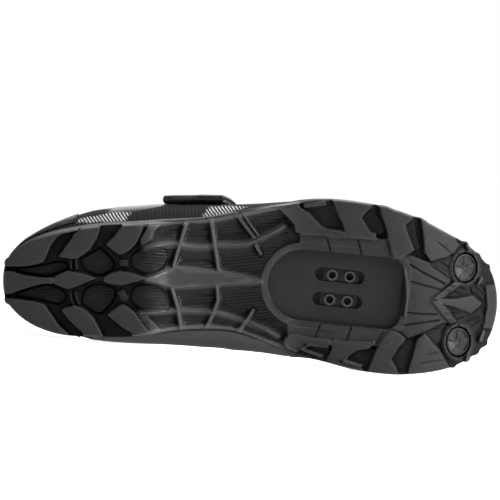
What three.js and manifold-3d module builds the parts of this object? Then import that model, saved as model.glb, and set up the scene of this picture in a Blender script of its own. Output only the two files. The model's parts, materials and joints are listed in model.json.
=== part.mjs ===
// A right off-road cycling shoe, in millimetres.
// The shoe is worked out standing on its sole: +X runs from heel to toe, +Y to the medial (big toe)
// side, +Z up from the ground. The finished shoe is then laid on its medial side, where it rests.
import * as THREE from 'three';
import { mergeVertices } from 'three/addons/utils/BufferGeometryUtils.js';
import Module from 'manifold-3d';

const wasm = await Module();
wasm.setup();

// Main sizes
const length = 280;
const heelWidth = 62;
const ballWidth = 98.5;
const heelStack = 26;
const archHeight = 12.5;
const toeSpring = 33;
const heelHeight = 95;
const instepHeight = 103;

// Sole sizes
const lugDepth = 6;
const cupDepth = 5;
const sideFlare = 5;
const sideStep = 0.6;
const railSink = 1.5;
const recessHeight = 8.5;
const recessLength = 76;
const recessWidth = 40;
const recessCorner = 8;
const recessTurn = 6;

// Plate, nut plate and stud sizes
const plateThickness = 3.2;
const plateLedge = 3;
const rimWidth = 4;
const slotLength = 28;
const slotWidth = 7.6;
const cleatSpacing = 14;
const boltSpacing = 10;
const bossDiameter = 6.5;
const boltBore = 4.2;
const nutPlateMargin = 4;
const nutPlateThickness = 1.5;
const nutPlateShift = 0.8;
const studDiameter = 16.8;
const studThickness = 4;
const studCollar = 2.2;
const studSocket = 6;

// Upper sizes
const bellyReach = 8;
const upperWall = 2;
const insoleThickness = 3.5;
const insolePlay = 0.9;
const insoleLift = 0.6;
const tongueThickness = 4;
const tongueRise = 26;
const tongueClearance = 1.3;
const counterThickness = 1.2;
const instepStrapWidth = 34;
const instepStrapThickness = 5;
const forefootStrapWidth = 24;
const forefootStrapThickness = 2.6;
const strapClearance = 0.6;
const gap = 0.3;

// The waist is where the width grows from that of the heel to that of the ball
const widthStart = 0.30;
const widthEnd = 0.65;

// The sections from heel to toe, as shares. Along: of the length. Lateral and medial: the tread's edge,
// of the local width. Flare: from that edge out to the feather line, of the side flare. Belly: from the
// feather line out to the widest point, of the belly reach. At: height of that point, of the section.
const sections = [
  { along: 0.000, lateral: 0.016, medial: 0.016, flareL: 0.00, flareM: 0.00, bellyL: 0.00, bellyM: 0.00, at: 0.26 },
  { along: 0.005, lateral: -0.150, medial: 0.161, flareL: 0.00, flareM: 0.00, bellyL: 0.00, bellyM: 0.00, at: 0.26 },
  { along: 0.021, lateral: -0.260, medial: 0.262, flareL: 0.00, flareM: 0.00, bellyL: 0.00, bellyM: 0.00, at: 0.26 },
  { along: 0.054, lateral: -0.363, medial: 0.379, flareL: 0.00, flareM: 0.00, bellyL: 0.11, bellyM: 0.00, at: 0.28 },
  { along: 0.107, lateral: -0.440, medial: 0.471, flareL: 0.05, flareM: 0.05, bellyL: 0.50, bellyM: 0.14, at: 0.32 },
  { along: 0.179, lateral: -0.494, medial: 0.498, flareL: 0.10, flareM: 0.10, bellyL: 0.84, bellyM: 0.52, at: 0.37 },
  { along: 0.257, lateral: -0.516, medial: 0.497, flareL: 0.15, flareM: 0.15, bellyL: 0.94, bellyM: 0.74, at: 0.40 },
  { along: 0.329, lateral: -0.531, medial: 0.459, flareL: 0.15, flareM: 0.25, bellyL: 0.93, bellyM: 1.06, at: 0.33 },
  { along: 0.400, lateral: -0.499, medial: 0.399, flareL: 0.10, flareM: 0.35, bellyL: 0.86, bellyM: 1.31, at: 0.28 },
  { along: 0.464, lateral: -0.478, medial: 0.364, flareL: 0.00, flareM: 0.35, bellyL: 0.54, bellyM: 1.37, at: 0.28 },
  { along: 0.521, lateral: -0.470, medial: 0.384, flareL: -0.10, flareM: 0.20, bellyL: 0.26, bellyM: 1.02, at: 0.28 },
  { along: 0.579, lateral: -0.462, medial: 0.426, flareL: -0.24, flareM: 0.00, bellyL: 0.17, bellyM: 0.52, at: 0.28 },
  { along: 0.643, lateral: -0.465, medial: 0.455, flareL: -0.40, flareM: -0.12, bellyL: 0.19, bellyM: 0.28, at: 0.28 },
  { along: 0.707, lateral: -0.454, medial: 0.502, flareL: -0.44, flareM: -0.40, bellyL: 0.19, bellyM: 0.20, at: 0.30 },
  { along: 0.771, lateral: -0.421, medial: 0.528, flareL: -0.44, flareM: -0.44, bellyL: 0.18, bellyM: 0.20, at: 0.30 },
  { along: 0.836, lateral: -0.357, medial: 0.528, flareL: -0.44, flareM: -0.44, bellyL: 0.15, bellyM: 0.18, at: 0.30 },
  { along: 0.893, lateral: -0.272, medial: 0.505, flareL: -0.44, flareM: -0.44, bellyL: 0.12, bellyM: 0.15, at: 0.30 },
  { along: 0.936, lateral: -0.200, medial: 0.459, flareL: -0.44, flareM: -0.44, bellyL: 0.10, bellyM: 0.12, at: 0.32 },
  { along: 0.968, lateral: -0.114, medial: 0.396, flareL: -0.44, flareM: -0.44, bellyL: 0.10, bellyM: 0.10, at: 0.34 },
  { along: 0.989, lateral: -0.025, medial: 0.299, flareL: -0.44, flareM: -0.44, bellyL: 0.10, bellyM: 0.10, at: 0.36 },
  { along: 1.000, lateral: 0.142, medial: 0.142, flareL: -0.44, flareM: -0.44, bellyL: 0.10, bellyM: 0.10, at: 0.36 },
];

// The upper's top edge at the same sections: the collar, then the throat, then the line along the vamp
// where both sides meet. Along: of the length. Lateral and medial: of the ball width. Collar, instep:
// height, of the heel and instep heights. Lift, reach and drop shape the curve from belly to top.
const tops = [
  { along: 0.034, lateral: 0.010, medial: 0.010, collar: 1.000, instep: 0.000, lift: 0.50, reach: 0.10, drop: 0.35 },
  { along: 0.037, lateral: -0.060, medial: 0.080, collar: 0.998, instep: 0.000, lift: 0.50, reach: 0.10, drop: 0.35 },
  { along: 0.047, lateral: -0.125, medial: 0.142, collar: 0.990, instep: 0.000, lift: 0.50, reach: 0.15, drop: 0.35 },
  { along: 0.071, lateral: -0.180, medial: 0.193, collar: 0.960, instep: 0.000, lift: 0.48, reach: 0.20, drop: 0.38 },
  { along: 0.114, lateral: -0.225, medial: 0.228, collar: 0.890, instep: 0.000, lift: 0.45, reach: 0.25, drop: 0.40 },
  { along: 0.179, lateral: -0.257, medial: 0.245, collar: 0.810, instep: 0.000, lift: 0.45, reach: 0.28, drop: 0.40 },
  { along: 0.250, lateral: -0.262, medial: 0.250, collar: 0.800, instep: 0.000, lift: 0.45, reach: 0.30, drop: 0.38 },
  { along: 0.314, lateral: -0.232, medial: 0.245, collar: 0.400, instep: 0.510, lift: 0.46, reach: 0.34, drop: 0.34 },
  { along: 0.371, lateral: -0.172, medial: 0.205, collar: 0.000, instep: 1.000, lift: 0.50, reach: 0.42, drop: 0.28 },
  { along: 0.443, lateral: -0.132, medial: 0.183, collar: 0.000, instep: 0.950, lift: 0.50, reach: 0.48, drop: 0.24 },
  { along: 0.507, lateral: -0.102, medial: 0.165, collar: 0.000, instep: 0.853, lift: 0.52, reach: 0.50, drop: 0.20 },
  { along: 0.564, lateral: -0.068, medial: 0.142, collar: 0.000, instep: 0.762, lift: 0.54, reach: 0.52, drop: 0.14 },
  { along: 0.614, lateral: -0.022, medial: 0.108, collar: 0.000, instep: 0.686, lift: 0.55, reach: 0.54, drop: 0.06 },
  { along: 0.657, lateral: 0.052, medial: 0.052, collar: 0.000, instep: 0.632, lift: 0.56, reach: 0.56, drop: 0.00 },
  { along: 0.700, lateral: 0.061, medial: 0.061, collar: 0.000, instep: 0.597, lift: 0.57, reach: 0.57, drop: 0.00 },
  { along: 0.743, lateral: 0.071, medial: 0.071, collar: 0.000, instep: 0.573, lift: 0.58, reach: 0.58, drop: 0.00 },
  { along: 0.782, lateral: 0.081, medial: 0.081, collar: 0.000, instep: 0.556, lift: 0.58, reach: 0.58, drop: 0.00 },
  { along: 0.818, lateral: 0.088, medial: 0.088, collar: 0.000, instep: 0.534, lift: 0.58, reach: 0.58, drop: 0.00 },
  { along: 0.846, lateral: 0.094, medial: 0.094, collar: 0.000, instep: 0.505, lift: 0.58, reach: 0.58, drop: 0.00 },
  { along: 0.868, lateral: 0.099, medial: 0.099, collar: 0.000, instep: 0.474, lift: 0.58, reach: 0.58, drop: 0.00 },
  { along: 0.882, lateral: 0.102, medial: 0.102, collar: 0.000, instep: 0.449, lift: 0.58, reach: 0.58, drop: 0.00 },
];
const lastSection = sections.length - 1;
const throatTop = 8;
const throatEnd = 13;

// The sole from the side, as shares. Lift: of the arch height, by which the tread stands off the ground.
// Spring: of the toe spring. Groove: of the lug depth. Deck: of the heel stack. Cup: of the cup depth.
const profile = [
  { along: -0.01, lift: 0.34, spring: 0, groove: 1.00, deck: 1.00, cup: 1.0 },
  { along: 0.03, lift: 0.08, spring: 0, groove: 1.04, deck: 1.00, cup: 1.0 },
  { along: 0.06, lift: 0.00, spring: 0, groove: 1.08, deck: 1.00, cup: 1.0 },
  { along: 0.25, lift: 0.00, spring: 0, groove: 1.08, deck: 0.98, cup: 1.0 },
  { along: 0.29, lift: 0.08, spring: 0, groove: 0.95, deck: 0.98, cup: 1.0 },
  { along: 0.33, lift: 0.66, spring: 0, groove: 0.45, deck: 0.98, cup: 1.0 },
  { along: 0.37, lift: 0.92, spring: 0, groove: 0.42, deck: 0.96, cup: 1.0 },
  { along: 0.42, lift: 1.00, spring: 0, groove: 0.42, deck: 0.93, cup: 1.0 },
  { along: 0.46, lift: 0.93, spring: 0, groove: 0.44, deck: 0.87, cup: 1.0 },
  { along: 0.50, lift: 0.72, spring: 0, groove: 0.55, deck: 0.78, cup: 0.9 },
  { along: 0.54, lift: 0.42, spring: 0, groove: 0.78, deck: 0.70, cup: 0.8 },
  { along: 0.58, lift: 0.24, spring: 0, groove: 0.92, deck: 0.63, cup: 0.8 },
  { along: 0.65, lift: 0.06, spring: 0, groove: 0.97, deck: 0.56, cup: 0.7 },
  { along: 0.69, lift: 0.01, spring: 0, groove: 0.97, deck: 0.55, cup: 0.7 },
  { along: 0.77, lift: 0.00, spring: 0.000, groove: 0.97, deck: 0.54, cup: 0.7 },
  { along: 0.80, lift: 0.00, spring: 0.022, groove: 0.95, deck: 0.53, cup: 0.7 },
  { along: 0.84, lift: 0.00, spring: 0.100, groove: 0.80, deck: 0.47, cup: 0.6 },
  { along: 0.875, lift: 0.00, spring: 0.230, groove: 0.65, deck: 0.41, cup: 0.6 },
  { along: 0.91, lift: 0.00, spring: 0.400, groove: 0.52, deck: 0.38, cup: 0.5 },
  { along: 0.945, lift: 0.00, spring: 0.605, groove: 0.45, deck: 0.36, cup: 0.5 },
  { along: 0.98, lift: 0.00, spring: 0.840, groove: 0.40, deck: 0.34, cup: 0.5 },
  { along: 1.00, lift: 0.00, spring: 1.000, groove: 0.38, deck: 0.33, cup: 0.5 },
];

// Lugs by their corners: along of the length, across of the local width. Corners past the tread's edge
// are trimmed by it.
const lugs = [
  { name: 'heel rear lateral', corners: [[0.010, -0.15], [0.04, -0.14], [0.078, -0.18], [0.093, -0.32], [0.118, -0.44], [0.13, -0.60], [-0.02, -0.60]] },
  { name: 'heel rear medial', corners: [[0.012, 0.16], [0.06, 0.18], [0.083, 0.22], [0.11, 0.40], [0.13, 0.47], [0.14, 0.60], [-0.02, 0.60]] },
  { name: 'heel mid lateral', corners: [[0.112, -0.23], [0.135, -0.21], [0.148, -0.213], [0.174, -0.30], [0.192, -0.46], [0.197, -0.60], [0.165, -0.60], [0.126, -0.32]] },
  { name: 'heel mid medial', corners: [[0.117, 0.26], [0.143, 0.222], [0.168, 0.275], [0.186, 0.38], [0.200, 0.60], [0.170, 0.60], [0.135, 0.36]] },
  { name: 'heel front lateral', corners: [[0.207, -0.34], [0.235, -0.245], [0.263, -0.33], [0.282, -0.49], [0.285, -0.60], [0.25, -0.60], [0.225, -0.41]] },
  { name: 'heel front medial', corners: [[0.210, 0.305], [0.238, 0.215], [0.265, 0.29], [0.300, 0.48], [0.305, 0.60], [0.26, 0.60], [0.228, 0.37]] },
  { name: 'heel wedge', corners: [[-0.02, -0.11], [0.02, -0.085], [0.08, -0.034], [0.105, -0.03], [0.105, 0.015], [0.085, 0.015], [0.03, 0.08], [-0.02, 0.13]] },
  { name: 'heel diamond', corners: [[0.098, -0.03], [0.13, -0.097], [0.20, -0.03], [0.20, -0.005], [0.13, 0.065], [0.098, 0.015]] },
  { name: 'heel front diamond', corners: [[0.195, -0.03], [0.235, -0.095], [0.29, -0.03], [0.29, -0.01], [0.235, 0.03], [0.195, -0.005]] },
  { name: 'ball lateral 1', corners: [[0.555, -0.60], [0.555, -0.455], [0.588, -0.34], [0.60, -0.28], [0.692, -0.252], [0.692, -0.29], [0.645, -0.305], [0.60, -0.42], [0.59, -0.60]] },
  { name: 'ball lateral 2', corners: [[0.663, -0.60], [0.665, -0.46], [0.688, -0.31], [0.688, -0.255], [0.764, -0.232], [0.764, -0.27], [0.738, -0.285], [0.72, -0.37], [0.70, -0.46], [0.70, -0.60]] },
  { name: 'ball lateral 3', corners: [[0.757, -0.60], [0.76, -0.435], [0.776, -0.28], [0.76, -0.235], [0.785, -0.135], [0.815, -0.15], [0.828, -0.19], [0.808, -0.32], [0.80, -0.60]] },
  { name: 'ball lateral 4', corners: [[0.842, -0.60], [0.843, -0.36], [0.85, -0.19], [0.863, -0.115], [0.895, -0.14], [0.918, -0.19], [0.93, -0.60]] },
  { name: 'ball medial 1', corners: [[0.577, 0.32], [0.664, 0.341], [0.667, 0.36], [0.63, 0.36], [0.603, 0.395], [0.59, 0.415], [0.567, 0.39]] },
  { name: 'ball medial 2', corners: [[0.66, 0.34], [0.664, 0.385], [0.653, 0.448], [0.66, 0.60], [0.71, 0.60], [0.69, 0.445], [0.715, 0.39], [0.753, 0.38], [0.753, 0.348]] },
  { name: 'ball medial 3', corners: [[0.748, 0.35], [0.751, 0.40], [0.737, 0.503], [0.735, 0.60], [0.80, 0.60], [0.78, 0.45], [0.81, 0.335], [0.80, 0.30], [0.775, 0.28]] },
  { name: 'ball medial 4', corners: [[0.833, 0.35], [0.818, 0.51], [0.815, 0.60], [0.91, 0.60], [0.89, 0.45], [0.87, 0.37], [0.85, 0.30]] },
  { name: 'toe ridge lateral', corners: [[0.865, 0.105], [0.912, 0.01], [0.925, 0.02], [0.88, 0.105]] },
  { name: 'toe ridge medial', corners: [[0.865, 0.115], [0.902, 0.245], [0.915, 0.24], [0.88, 0.115]] },
  { name: 'toe leaf', corners: [[0.878, 0.108], [0.95, 0.095], [0.972, 0.14], [0.95, 0.19]] },
  { name: 'toe bumper', corners: [[0.978, 0.04], [0.99, 0.04], [1.02, 0.04], [1.02, 0.28], [0.99, 0.28], [0.972, 0.28], [0.982, 0.15]] },
];

// Flat rails beside the cleat window, a little lower than the lugs, and the band across the ball
const rails = [
  { name: 'lateral rail', corners: [[0.603, -0.285], [0.60, -0.19], [0.70, -0.16], [0.79, -0.13], [0.77, -0.25]] },
  { name: 'medial rail', corners: [[0.575, 0.235], [0.575, 0.33], [0.69, 0.36], [0.779, 0.37], [0.79, 0.262], [0.68, 0.235]] },
  { name: 'ball band', corners: [[0.78, -0.14], [0.80, -0.05], [0.80, 0.18], [0.78, 0.27], [0.835, 0.30], [0.872, 0.11], [0.866, -0.115]] },
];

// Ribs of the waist, by their two ends and width, and the web along the middle by its corners
const waistRibWidth = 3;
const waistRibs = [
  { from: [0.371, -0.52], to: [0.340, -0.10] },
  { from: [0.338, 0.07], to: [0.357, 0.44] },
  { from: [0.418, -0.48], to: [0.437, -0.07] },
  { from: [0.430, 0.045], to: [0.407, 0.38] },
  { from: [0.470, -0.47], to: [0.508, -0.27] },
  { from: [0.503, 0.19], to: [0.475, 0.36] },
];
const web = [[0.285, -0.03], [0.33, -0.095], [0.345, -0.115], [0.386, -0.09], [0.436, -0.065], [0.521, 0.0],
  [0.521, 0.015], [0.436, 0.04], [0.393, 0.055], [0.343, 0.075], [0.285, -0.01]];

// Toe studs: centres, along of the length and across of the local width
const studs = [
  { name: 'stud_plug_lateral', along: 0.934, across: -0.071 },
  { name: 'stud_plug_medial', along: 0.920, across: 0.355 },
];
// Middle of the cleat slots, and the centre of the window's rear arc, on the window's own axis
const cleatAlong = 0.676;
const cleatAcross = 0.041;
const recessBehind = 20;

// Smooth step from 0 to 1
function smooth(value) {
  const t = Math.min(1, Math.max(0, value));
  return t * t * (3 - 2 * t);
}

// Width that the across shares refer to
function widthAt(x) {
  const share = (x / length - widthStart) / (widthEnd - widthStart);
  return heelWidth + (ballWidth - heelWidth) * smooth(share);
}

// One column of the profile table at x, as a smooth curve through its rows
function profileAt(column, x) {
  const along = Math.min(1, Math.max(profile[0].along, x / length));
  let row = 0;
  while (row < profile.length - 2 && along > profile[row + 1].along) row += 1;
  const slope = (index) => {
    const before = profile[Math.max(0, index - 1)];
    const after = profile[Math.min(profile.length - 1, index + 1)];
    return (after[column] - before[column]) / (after.along - before.along);
  };
  const start = profile[row];
  const end = profile[row + 1];
  const span = end.along - start.along;
  const t = (along - start.along) / span;
  const t2 = t * t;
  const t3 = t2 * t;
  return (2 * t3 - 3 * t2 + 1) * start[column] + (t3 - 2 * t2 + t) * span * slope(row)
    + (3 * t2 - 2 * t3) * end[column] + (t3 - t2) * span * slope(row + 1);
}

// Heights of the sole's own surfaces at x
const treadAt = (x) => profileAt('lift', x) * archHeight + profileAt('spring', x) * toeSpring;
const grooveAt = (x) => treadAt(x) + profileAt('groove', x) * lugDepth;
const deckAt = (x) => profileAt('deck', x) * heelStack + profileAt('spring', x) * toeSpring;
const cupAt = (x) => profileAt('cup', x) * cupDepth;

// A closed curve through all sections: lateral side from heel to toe, then the medial side back
function loopCurve(lateralPoint, medialPoint) {
  const points = [];
  for (let row = 0; row <= lastSection; row += 1) points.push(lateralPoint(row));
  for (let row = lastSection - 1; row > 0; row -= 1) points.push(medialPoint(row));
  return new THREE.CatmullRomCurve3(points, true, 'centripetal');
}

// Value of a loop curve on one side at a section, which may lie between two rows
function onLoop(curve, side, section) {
  const count = 2 * lastSection;
  const place = side < 0 ? section : count - section;
  return curve.getPoint(((place % count) + count) % count / count);
}

const planPoint = (row, share) => {
  const x = sections[row].along * length;
  return new THREE.Vector3(x, share * widthAt(x), 0);
};
const edgeCurve = loopCurve(
  (row) => planPoint(row, sections[row].lateral),
  (row) => planPoint(row, sections[row].medial),
);
const reachCurve = loopCurve(
  (row) => new THREE.Vector3(sections[row].flareL * sideFlare, sections[row].bellyL * bellyReach, sections[row].at),
  (row) => new THREE.Vector3(sections[row].flareM * sideFlare, sections[row].bellyM * bellyReach, sections[row].at),
);
const topPoint = (row, share) => {
  const x = tops[row].along * length;
  const z = tops[row].collar * heelHeight + tops[row].instep * instepHeight;
  return new THREE.Vector3(x, share * ballWidth, z + profileAt('spring', x) * toeSpring);
};
const topCurve = loopCurve(
  (row) => topPoint(row, tops[row].lateral),
  (row) => topPoint(row, tops[row].medial),
);
const shapePoint = (row) => new THREE.Vector3(tops[row].lift, tops[row].reach, tops[row].drop);
const shapeCurve = loopCurve(shapePoint, shapePoint);

// Outward direction of the tread's edge, level with the ground
function outwardAt(side, section) {
  const step = 0.02;
  const before = onLoop(edgeCurve, -1, side < 0 ? section - step : -section - step);
  const after = onLoop(edgeCurve, -1, side < 0 ? section + step : -section + step);
  return new THREE.Vector3(after.y - before.y, before.x - after.x, 0).normalize();
}

// Tread edge at the height of a sole surface
function edgeAt(side, section, heightAt, out = 0) {
  const point = onLoop(edgeCurve, side, section).addScaledVector(outwardAt(side, section), out);
  point.z = heightAt(point.x);
  return point;
}

// Feather line, where the sole ends and the upper begins
function featherAt(side, section, out = 0) {
  const flare = onLoop(reachCurve, side, section).x;
  const point = onLoop(edgeCurve, side, section).addScaledVector(outwardAt(side, section), flare + out);
  point.z = deckAt(point.x) + cupAt(point.x);
  return point;
}

// Line along the middle of the sole, in which both sides end
const middleStart = 14;
const middleEnd = 18;
function middleAt(section) {
  const both = onLoop(edgeCurve, -1, section).add(onLoop(edgeCurve, 1, section)).multiplyScalar(0.5);
  const x = middleStart + both.x * (length - middleStart - middleEnd) / length;
  return new THREE.Vector3(x, both.y, 0);
}

// Point of the foot bed: share 1 is the feather line moved in by the inset, share 0 the middle
function deckPoint(side, section, share, inset = 0) {
  const full = featherAt(side, section);
  const point = middleAt(section).lerp(featherAt(side, section, -inset), share);
  const middle = middleAt(section);
  const reach = Math.hypot(point.x - middle.x, point.y - middle.y);
  const whole = Math.hypot(full.x - middle.x, full.y - middle.y);
  point.z = deckAt(point.x) + cupAt(point.x) * (reach / whole) ** 3;
  return point;
}

// Top edge of the upper; both sides share it from the throat's end to the toe
function topAt(side, section) {
  if (section < throatEnd) return onLoop(topCurve, side, section);
  return onLoop(topCurve, -1, section).add(onLoop(topCurve, 1, section)).multiplyScalar(0.5);
}

function bezier(a, b, c, d, t) {
  return new THREE.CubicBezierCurve3(a, b, c, d).getPoint(t);
}

// The upper's outer face: height 0 is the feather line, 1 the top edge
const bellyShare = 0.3;
const footHandle = { out: 0.75, up: 0.3 };
const bellyHandle = 0.45;
function upperPoint(side, section, height) {
  const up = new THREE.Vector3(0, 0, 1);
  const foot = featherAt(side, section);
  foot.z += gap;
  const top = topAt(side, section);
  const [, belly, at] = onLoop(reachCurve, side, section).toArray();
  const [lift, reach, drop] = onLoop(shapeCurve, side, section).toArray();
  const out = outwardAt(side, section);
  const lower = (top.z - foot.z) * at;
  const upper = (top.z - foot.z) * (1 - at);
  const widest = foot.clone().addScaledVector(out, belly).addScaledVector(up, lower);
  if (height < bellyShare) {
    const leave = foot.clone().addScaledVector(out, belly * footHandle.out).addScaledVector(up, lower * footHandle.up);
    const arrive = widest.clone().addScaledVector(up, -lower * bellyHandle);
    return bezier(foot, leave, arrive, widest, height / bellyShare);
  }
  const inward = new THREE.Vector3(widest.x - top.x, widest.y - top.y, 0);
  const leave = widest.clone().addScaledVector(up, lift * upper);
  const arrive = top.clone().addScaledVector(inward, reach).addScaledVector(up, -drop * upper);
  return bezier(widest, leave, arrive, top, (height - bellyShare) / (1 - bellyShare));
}

// A line over the shoe at one section: from -2 at the lateral feather line, over the lateral top edge at
// -1 and the medial one at 1, to 2 at the medial feather line. Between -1 and 1 it bridges the throat.
const bridgeHandle = 0.36;
const belowTop = 0.96;
function overPoint(section, across) {
  if (Math.abs(across) >= 1) return upperPoint(Math.sign(across), section, 2 - Math.abs(across));
  const start = upperPoint(-1, section, 1);
  const end = upperPoint(1, section, 1);
  const handle = start.distanceTo(end) * bridgeHandle;
  const leave = start.clone().sub(upperPoint(-1, section, belowTop)).normalize();
  const arrive = end.clone().sub(upperPoint(1, section, belowTop)).normalize();
  return bezier(start, start.clone().addScaledVector(leave, handle),
    end.clone().addScaledVector(arrive, handle), end, (across + 1) / 2);
}

// Indexed geometry from strips of quads; coinciding points are merged
function stitched(quads) {
  const positions = [];
  for (const [a, b, c, d] of quads) {
    for (const point of [a, b, c, a, c, d]) positions.push(point.x, point.y, point.z);
  }
  const geometry = new THREE.BufferGeometry();
  geometry.setAttribute('position', new THREE.Float32BufferAttribute(positions, 3));
  return withoutSlivers(mergeVertices(geometry, 1e-3));
}

// The same geometry without triangles that have two corners in one place
function withoutSlivers(geometry) {
  const index = geometry.getIndex().array;
  const kept = [];
  for (let i = 0; i < index.length; i += 3) {
    const [a, b, c] = [index[i], index[i + 1], index[i + 2]];
    if (a !== b && b !== c && c !== a) kept.push(a, b, c);
  }
  geometry.setIndex(kept);
  return geometry;
}

// Quads over both sides of the shoe between levels, each a function of side and section
const stationsPerSection = 2;
function bothSides(levels) {
  const quads = [];
  const stations = lastSection * stationsPerSection;
  for (const side of [-1, 1]) {
    const rows = levels.map((level) => {
      const row = [];
      for (let k = 0; k <= stations; k += 1) row.push(level(side, k / stationsPerSection));
      return row;
    });
    for (let j = 0; j < rows.length - 1; j += 1) {
      for (let k = 0; k < stations; k += 1) {
        const quad = [rows[j][k], rows[j][k + 1], rows[j + 1][k + 1], rows[j + 1][k]];
        quads.push(side < 0 ? quad : quad.reverse());
      }
    }
  }
  return quads;
}

// Quads of a patch given by a function of two shares
function patch(point, columns, rows) {
  const quads = [];
  const grid = [];
  for (let j = 0; j <= rows; j += 1) {
    const row = [];
    for (let k = 0; k <= columns; k += 1) row.push(point(k / columns, j / rows));
    grid.push(row);
  }
  for (let j = 0; j < rows; j += 1) {
    for (let k = 0; k < columns; k += 1) {
      quads.push([grid[j][k], grid[j][k + 1], grid[j + 1][k + 1], grid[j + 1][k]]);
    }
  }
  return quads;
}

// A wall over an open surface, from one distance along its normals to another
function thickened(surface, from, to) {
  surface.computeVertexNormals();
  const index = surface.getIndex().array;
  const position = surface.getAttribute('position');
  const normal = surface.getAttribute('normal');
  const shifted = (i, distance) => new THREE.Vector3().fromBufferAttribute(normal, i)
    .multiplyScalar(distance).add(new THREE.Vector3().fromBufferAttribute(position, i));
  const points = [];
  for (const distance of [to, from]) {
    for (let i = 0; i < position.count; i += 1) points.push(...shifted(i, distance).toArray());
  }
  const faces = [];
  const edges = new Set();
  for (let i = 0; i < index.length; i += 3) {
    const corner = [index[i], index[i + 1], index[i + 2]];
    faces.push(...corner);
    faces.push(...corner.map((value) => value + position.count).reverse());
    for (let k = 0; k < 3; k += 1) edges.add(`${corner[k]} ${corner[(k + 1) % 3]}`);
  }
  for (const edge of edges) {
    const [a, b] = edge.split(' ').map(Number);
    if (!edges.has(`${b} ${a}`)) {
      faces.push(b, a, a + position.count, b, a + position.count, b + position.count);
    }
  }
  const geometry = new THREE.BufferGeometry();
  geometry.setAttribute('position', new THREE.Float32BufferAttribute(points, 3));
  geometry.setIndex(faces);
  return geometry;
}

function toSolid(geometry) {
  const bare = geometry.clone();
  for (const name of Object.keys(bare.attributes)) {
    if (name !== 'position') bare.deleteAttribute(name);
  }
  const merged = withoutSlivers(mergeVertices(bare, 1e-4));
  return new wasm.Manifold(new wasm.Mesh({
    numProp: 3,
    vertProperties: Float32Array.from(merged.getAttribute('position').array),
    triVerts: Uint32Array.from(merged.getIndex().array),
  }));
}

function toGeometry(solid) {
  const mesh = solid.getMesh();
  const geometry = new THREE.BufferGeometry();
  geometry.setAttribute('position', new THREE.BufferAttribute(Float32Array.from(mesh.vertProperties), 3));
  geometry.setIndex(Array.from(mesh.triVerts));
  return geometry;
}

const joined = (solids) => solids.reduce((whole, solid) => whole.add(solid));

// A prism between two heights over an outline of plan points
function prism(outline, bottom, top) {
  const shape = new THREE.Shape(outline);
  const geometry = new THREE.ExtrudeGeometry(shape, { depth: top - bottom, bevelEnabled: false });
  return toSolid(geometry.translate(0, 0, bottom));
}

const sharePoint = ([along, across]) => new THREE.Vector2(
  along * length,
  across * widthAt(Math.min(length, Math.max(0, along * length))),
);

// Frame of the cleat window: its axis is turned from the shoe's towards the medial side
const cleatCentre = new THREE.Vector3(cleatAlong * length, cleatAcross * ballWidth, 0);
const cleatFrame = new THREE.Matrix4().makeRotationZ(THREE.MathUtils.degToRad(recessTurn))
  .setPosition(cleatCentre);
const inCleatFrame = (point) => {
  const placed = new THREE.Vector3(point.x, point.y, 0).applyMatrix4(cleatFrame);
  return new THREE.Vector2(placed.x, placed.y);
};

const arcPoints = 6;

// Outline of the window: round at the rear, two rounded corners at the front, larger by the margin
function windowOutline(margin) {
  const half = recessWidth / 2 + margin;
  const corner = recessCorner + margin;
  const rear = -recessBehind;
  const front = rear - recessWidth / 2 + recessLength + margin;
  const shape = new THREE.Shape();
  shape.absarc(rear, 0, half, Math.PI / 2, Math.PI * 1.5, false);
  shape.absarc(front - corner, corner - half, corner, -Math.PI / 2, 0, false);
  shape.absarc(front - corner, half - corner, corner, 0, Math.PI / 2, false);
  return shape.getPoints(arcPoints).slice(0, -1).map(inCleatFrame);
}

// Outline of one slot of the plate
function slotOutline(side) {
  const radius = slotWidth / 2;
  const reach = slotLength / 2 - radius;
  const offset = side * cleatSpacing / 2;
  const shape = new THREE.Shape();
  shape.absarc(-reach, offset, radius, Math.PI / 2, Math.PI * 1.5, false);
  shape.absarc(reach, offset, radius, -Math.PI / 2, Math.PI / 2, false);
  return shape.getPoints(arcPoints).slice(0, -1).map(inCleatFrame);
}

// Closed band of material between two sole surfaces, out to the tread's edge
const overlap = 1;
function soleSlab(sink) {
  const lower = (x) => treadAt(x) + sink;
  const upper = (x) => grooveAt(x) + overlap;
  const middle = (section, heightAt) => {
    const point = middleAt(section);
    point.z = heightAt(point.x);
    return point;
  };
  return toSolid(stitched(bothSides([
    (side, section) => middle(section, lower),
    (side, section) => middle(section, lower).lerp(edgeAt(side, section, lower), 0.5)
      .setZ(lower(middle(section, lower).lerp(edgeAt(side, section, lower), 0.5).x)),
    (side, section) => edgeAt(side, section, lower),
    (side, section) => edgeAt(side, section, upper),
    (side, section) => middle(section, upper),
  ])));
}

// Levels of the foot bed, from the feather line to the middle
const deckShares = [0.86, 0.66, 0.36, 0];

// Body of the sole between its groove floor and the foot bed
function soleBody() {
  const bottom = (share) => (side, section) => {
    const point = middleAt(section).lerp(edgeAt(side, section, grooveAt, sideStep), share);
    point.z = grooveAt(point.x);
    return point;
  };
  const sideMiddle = (side, section) => {
    const point = edgeAt(side, section, grooveAt, sideStep).lerp(featherAt(side, section), 0.5);
    return point.addScaledVector(outwardAt(side, section), sideStep);
  };
  return toSolid(stitched(bothSides([
    bottom(0), bottom(0.5), bottom(1), sideMiddle,
    (side, section) => featherAt(side, section),
    ...deckShares.map((share) => (side, section) => deckPoint(side, section, share)),
  ])));
}

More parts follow.
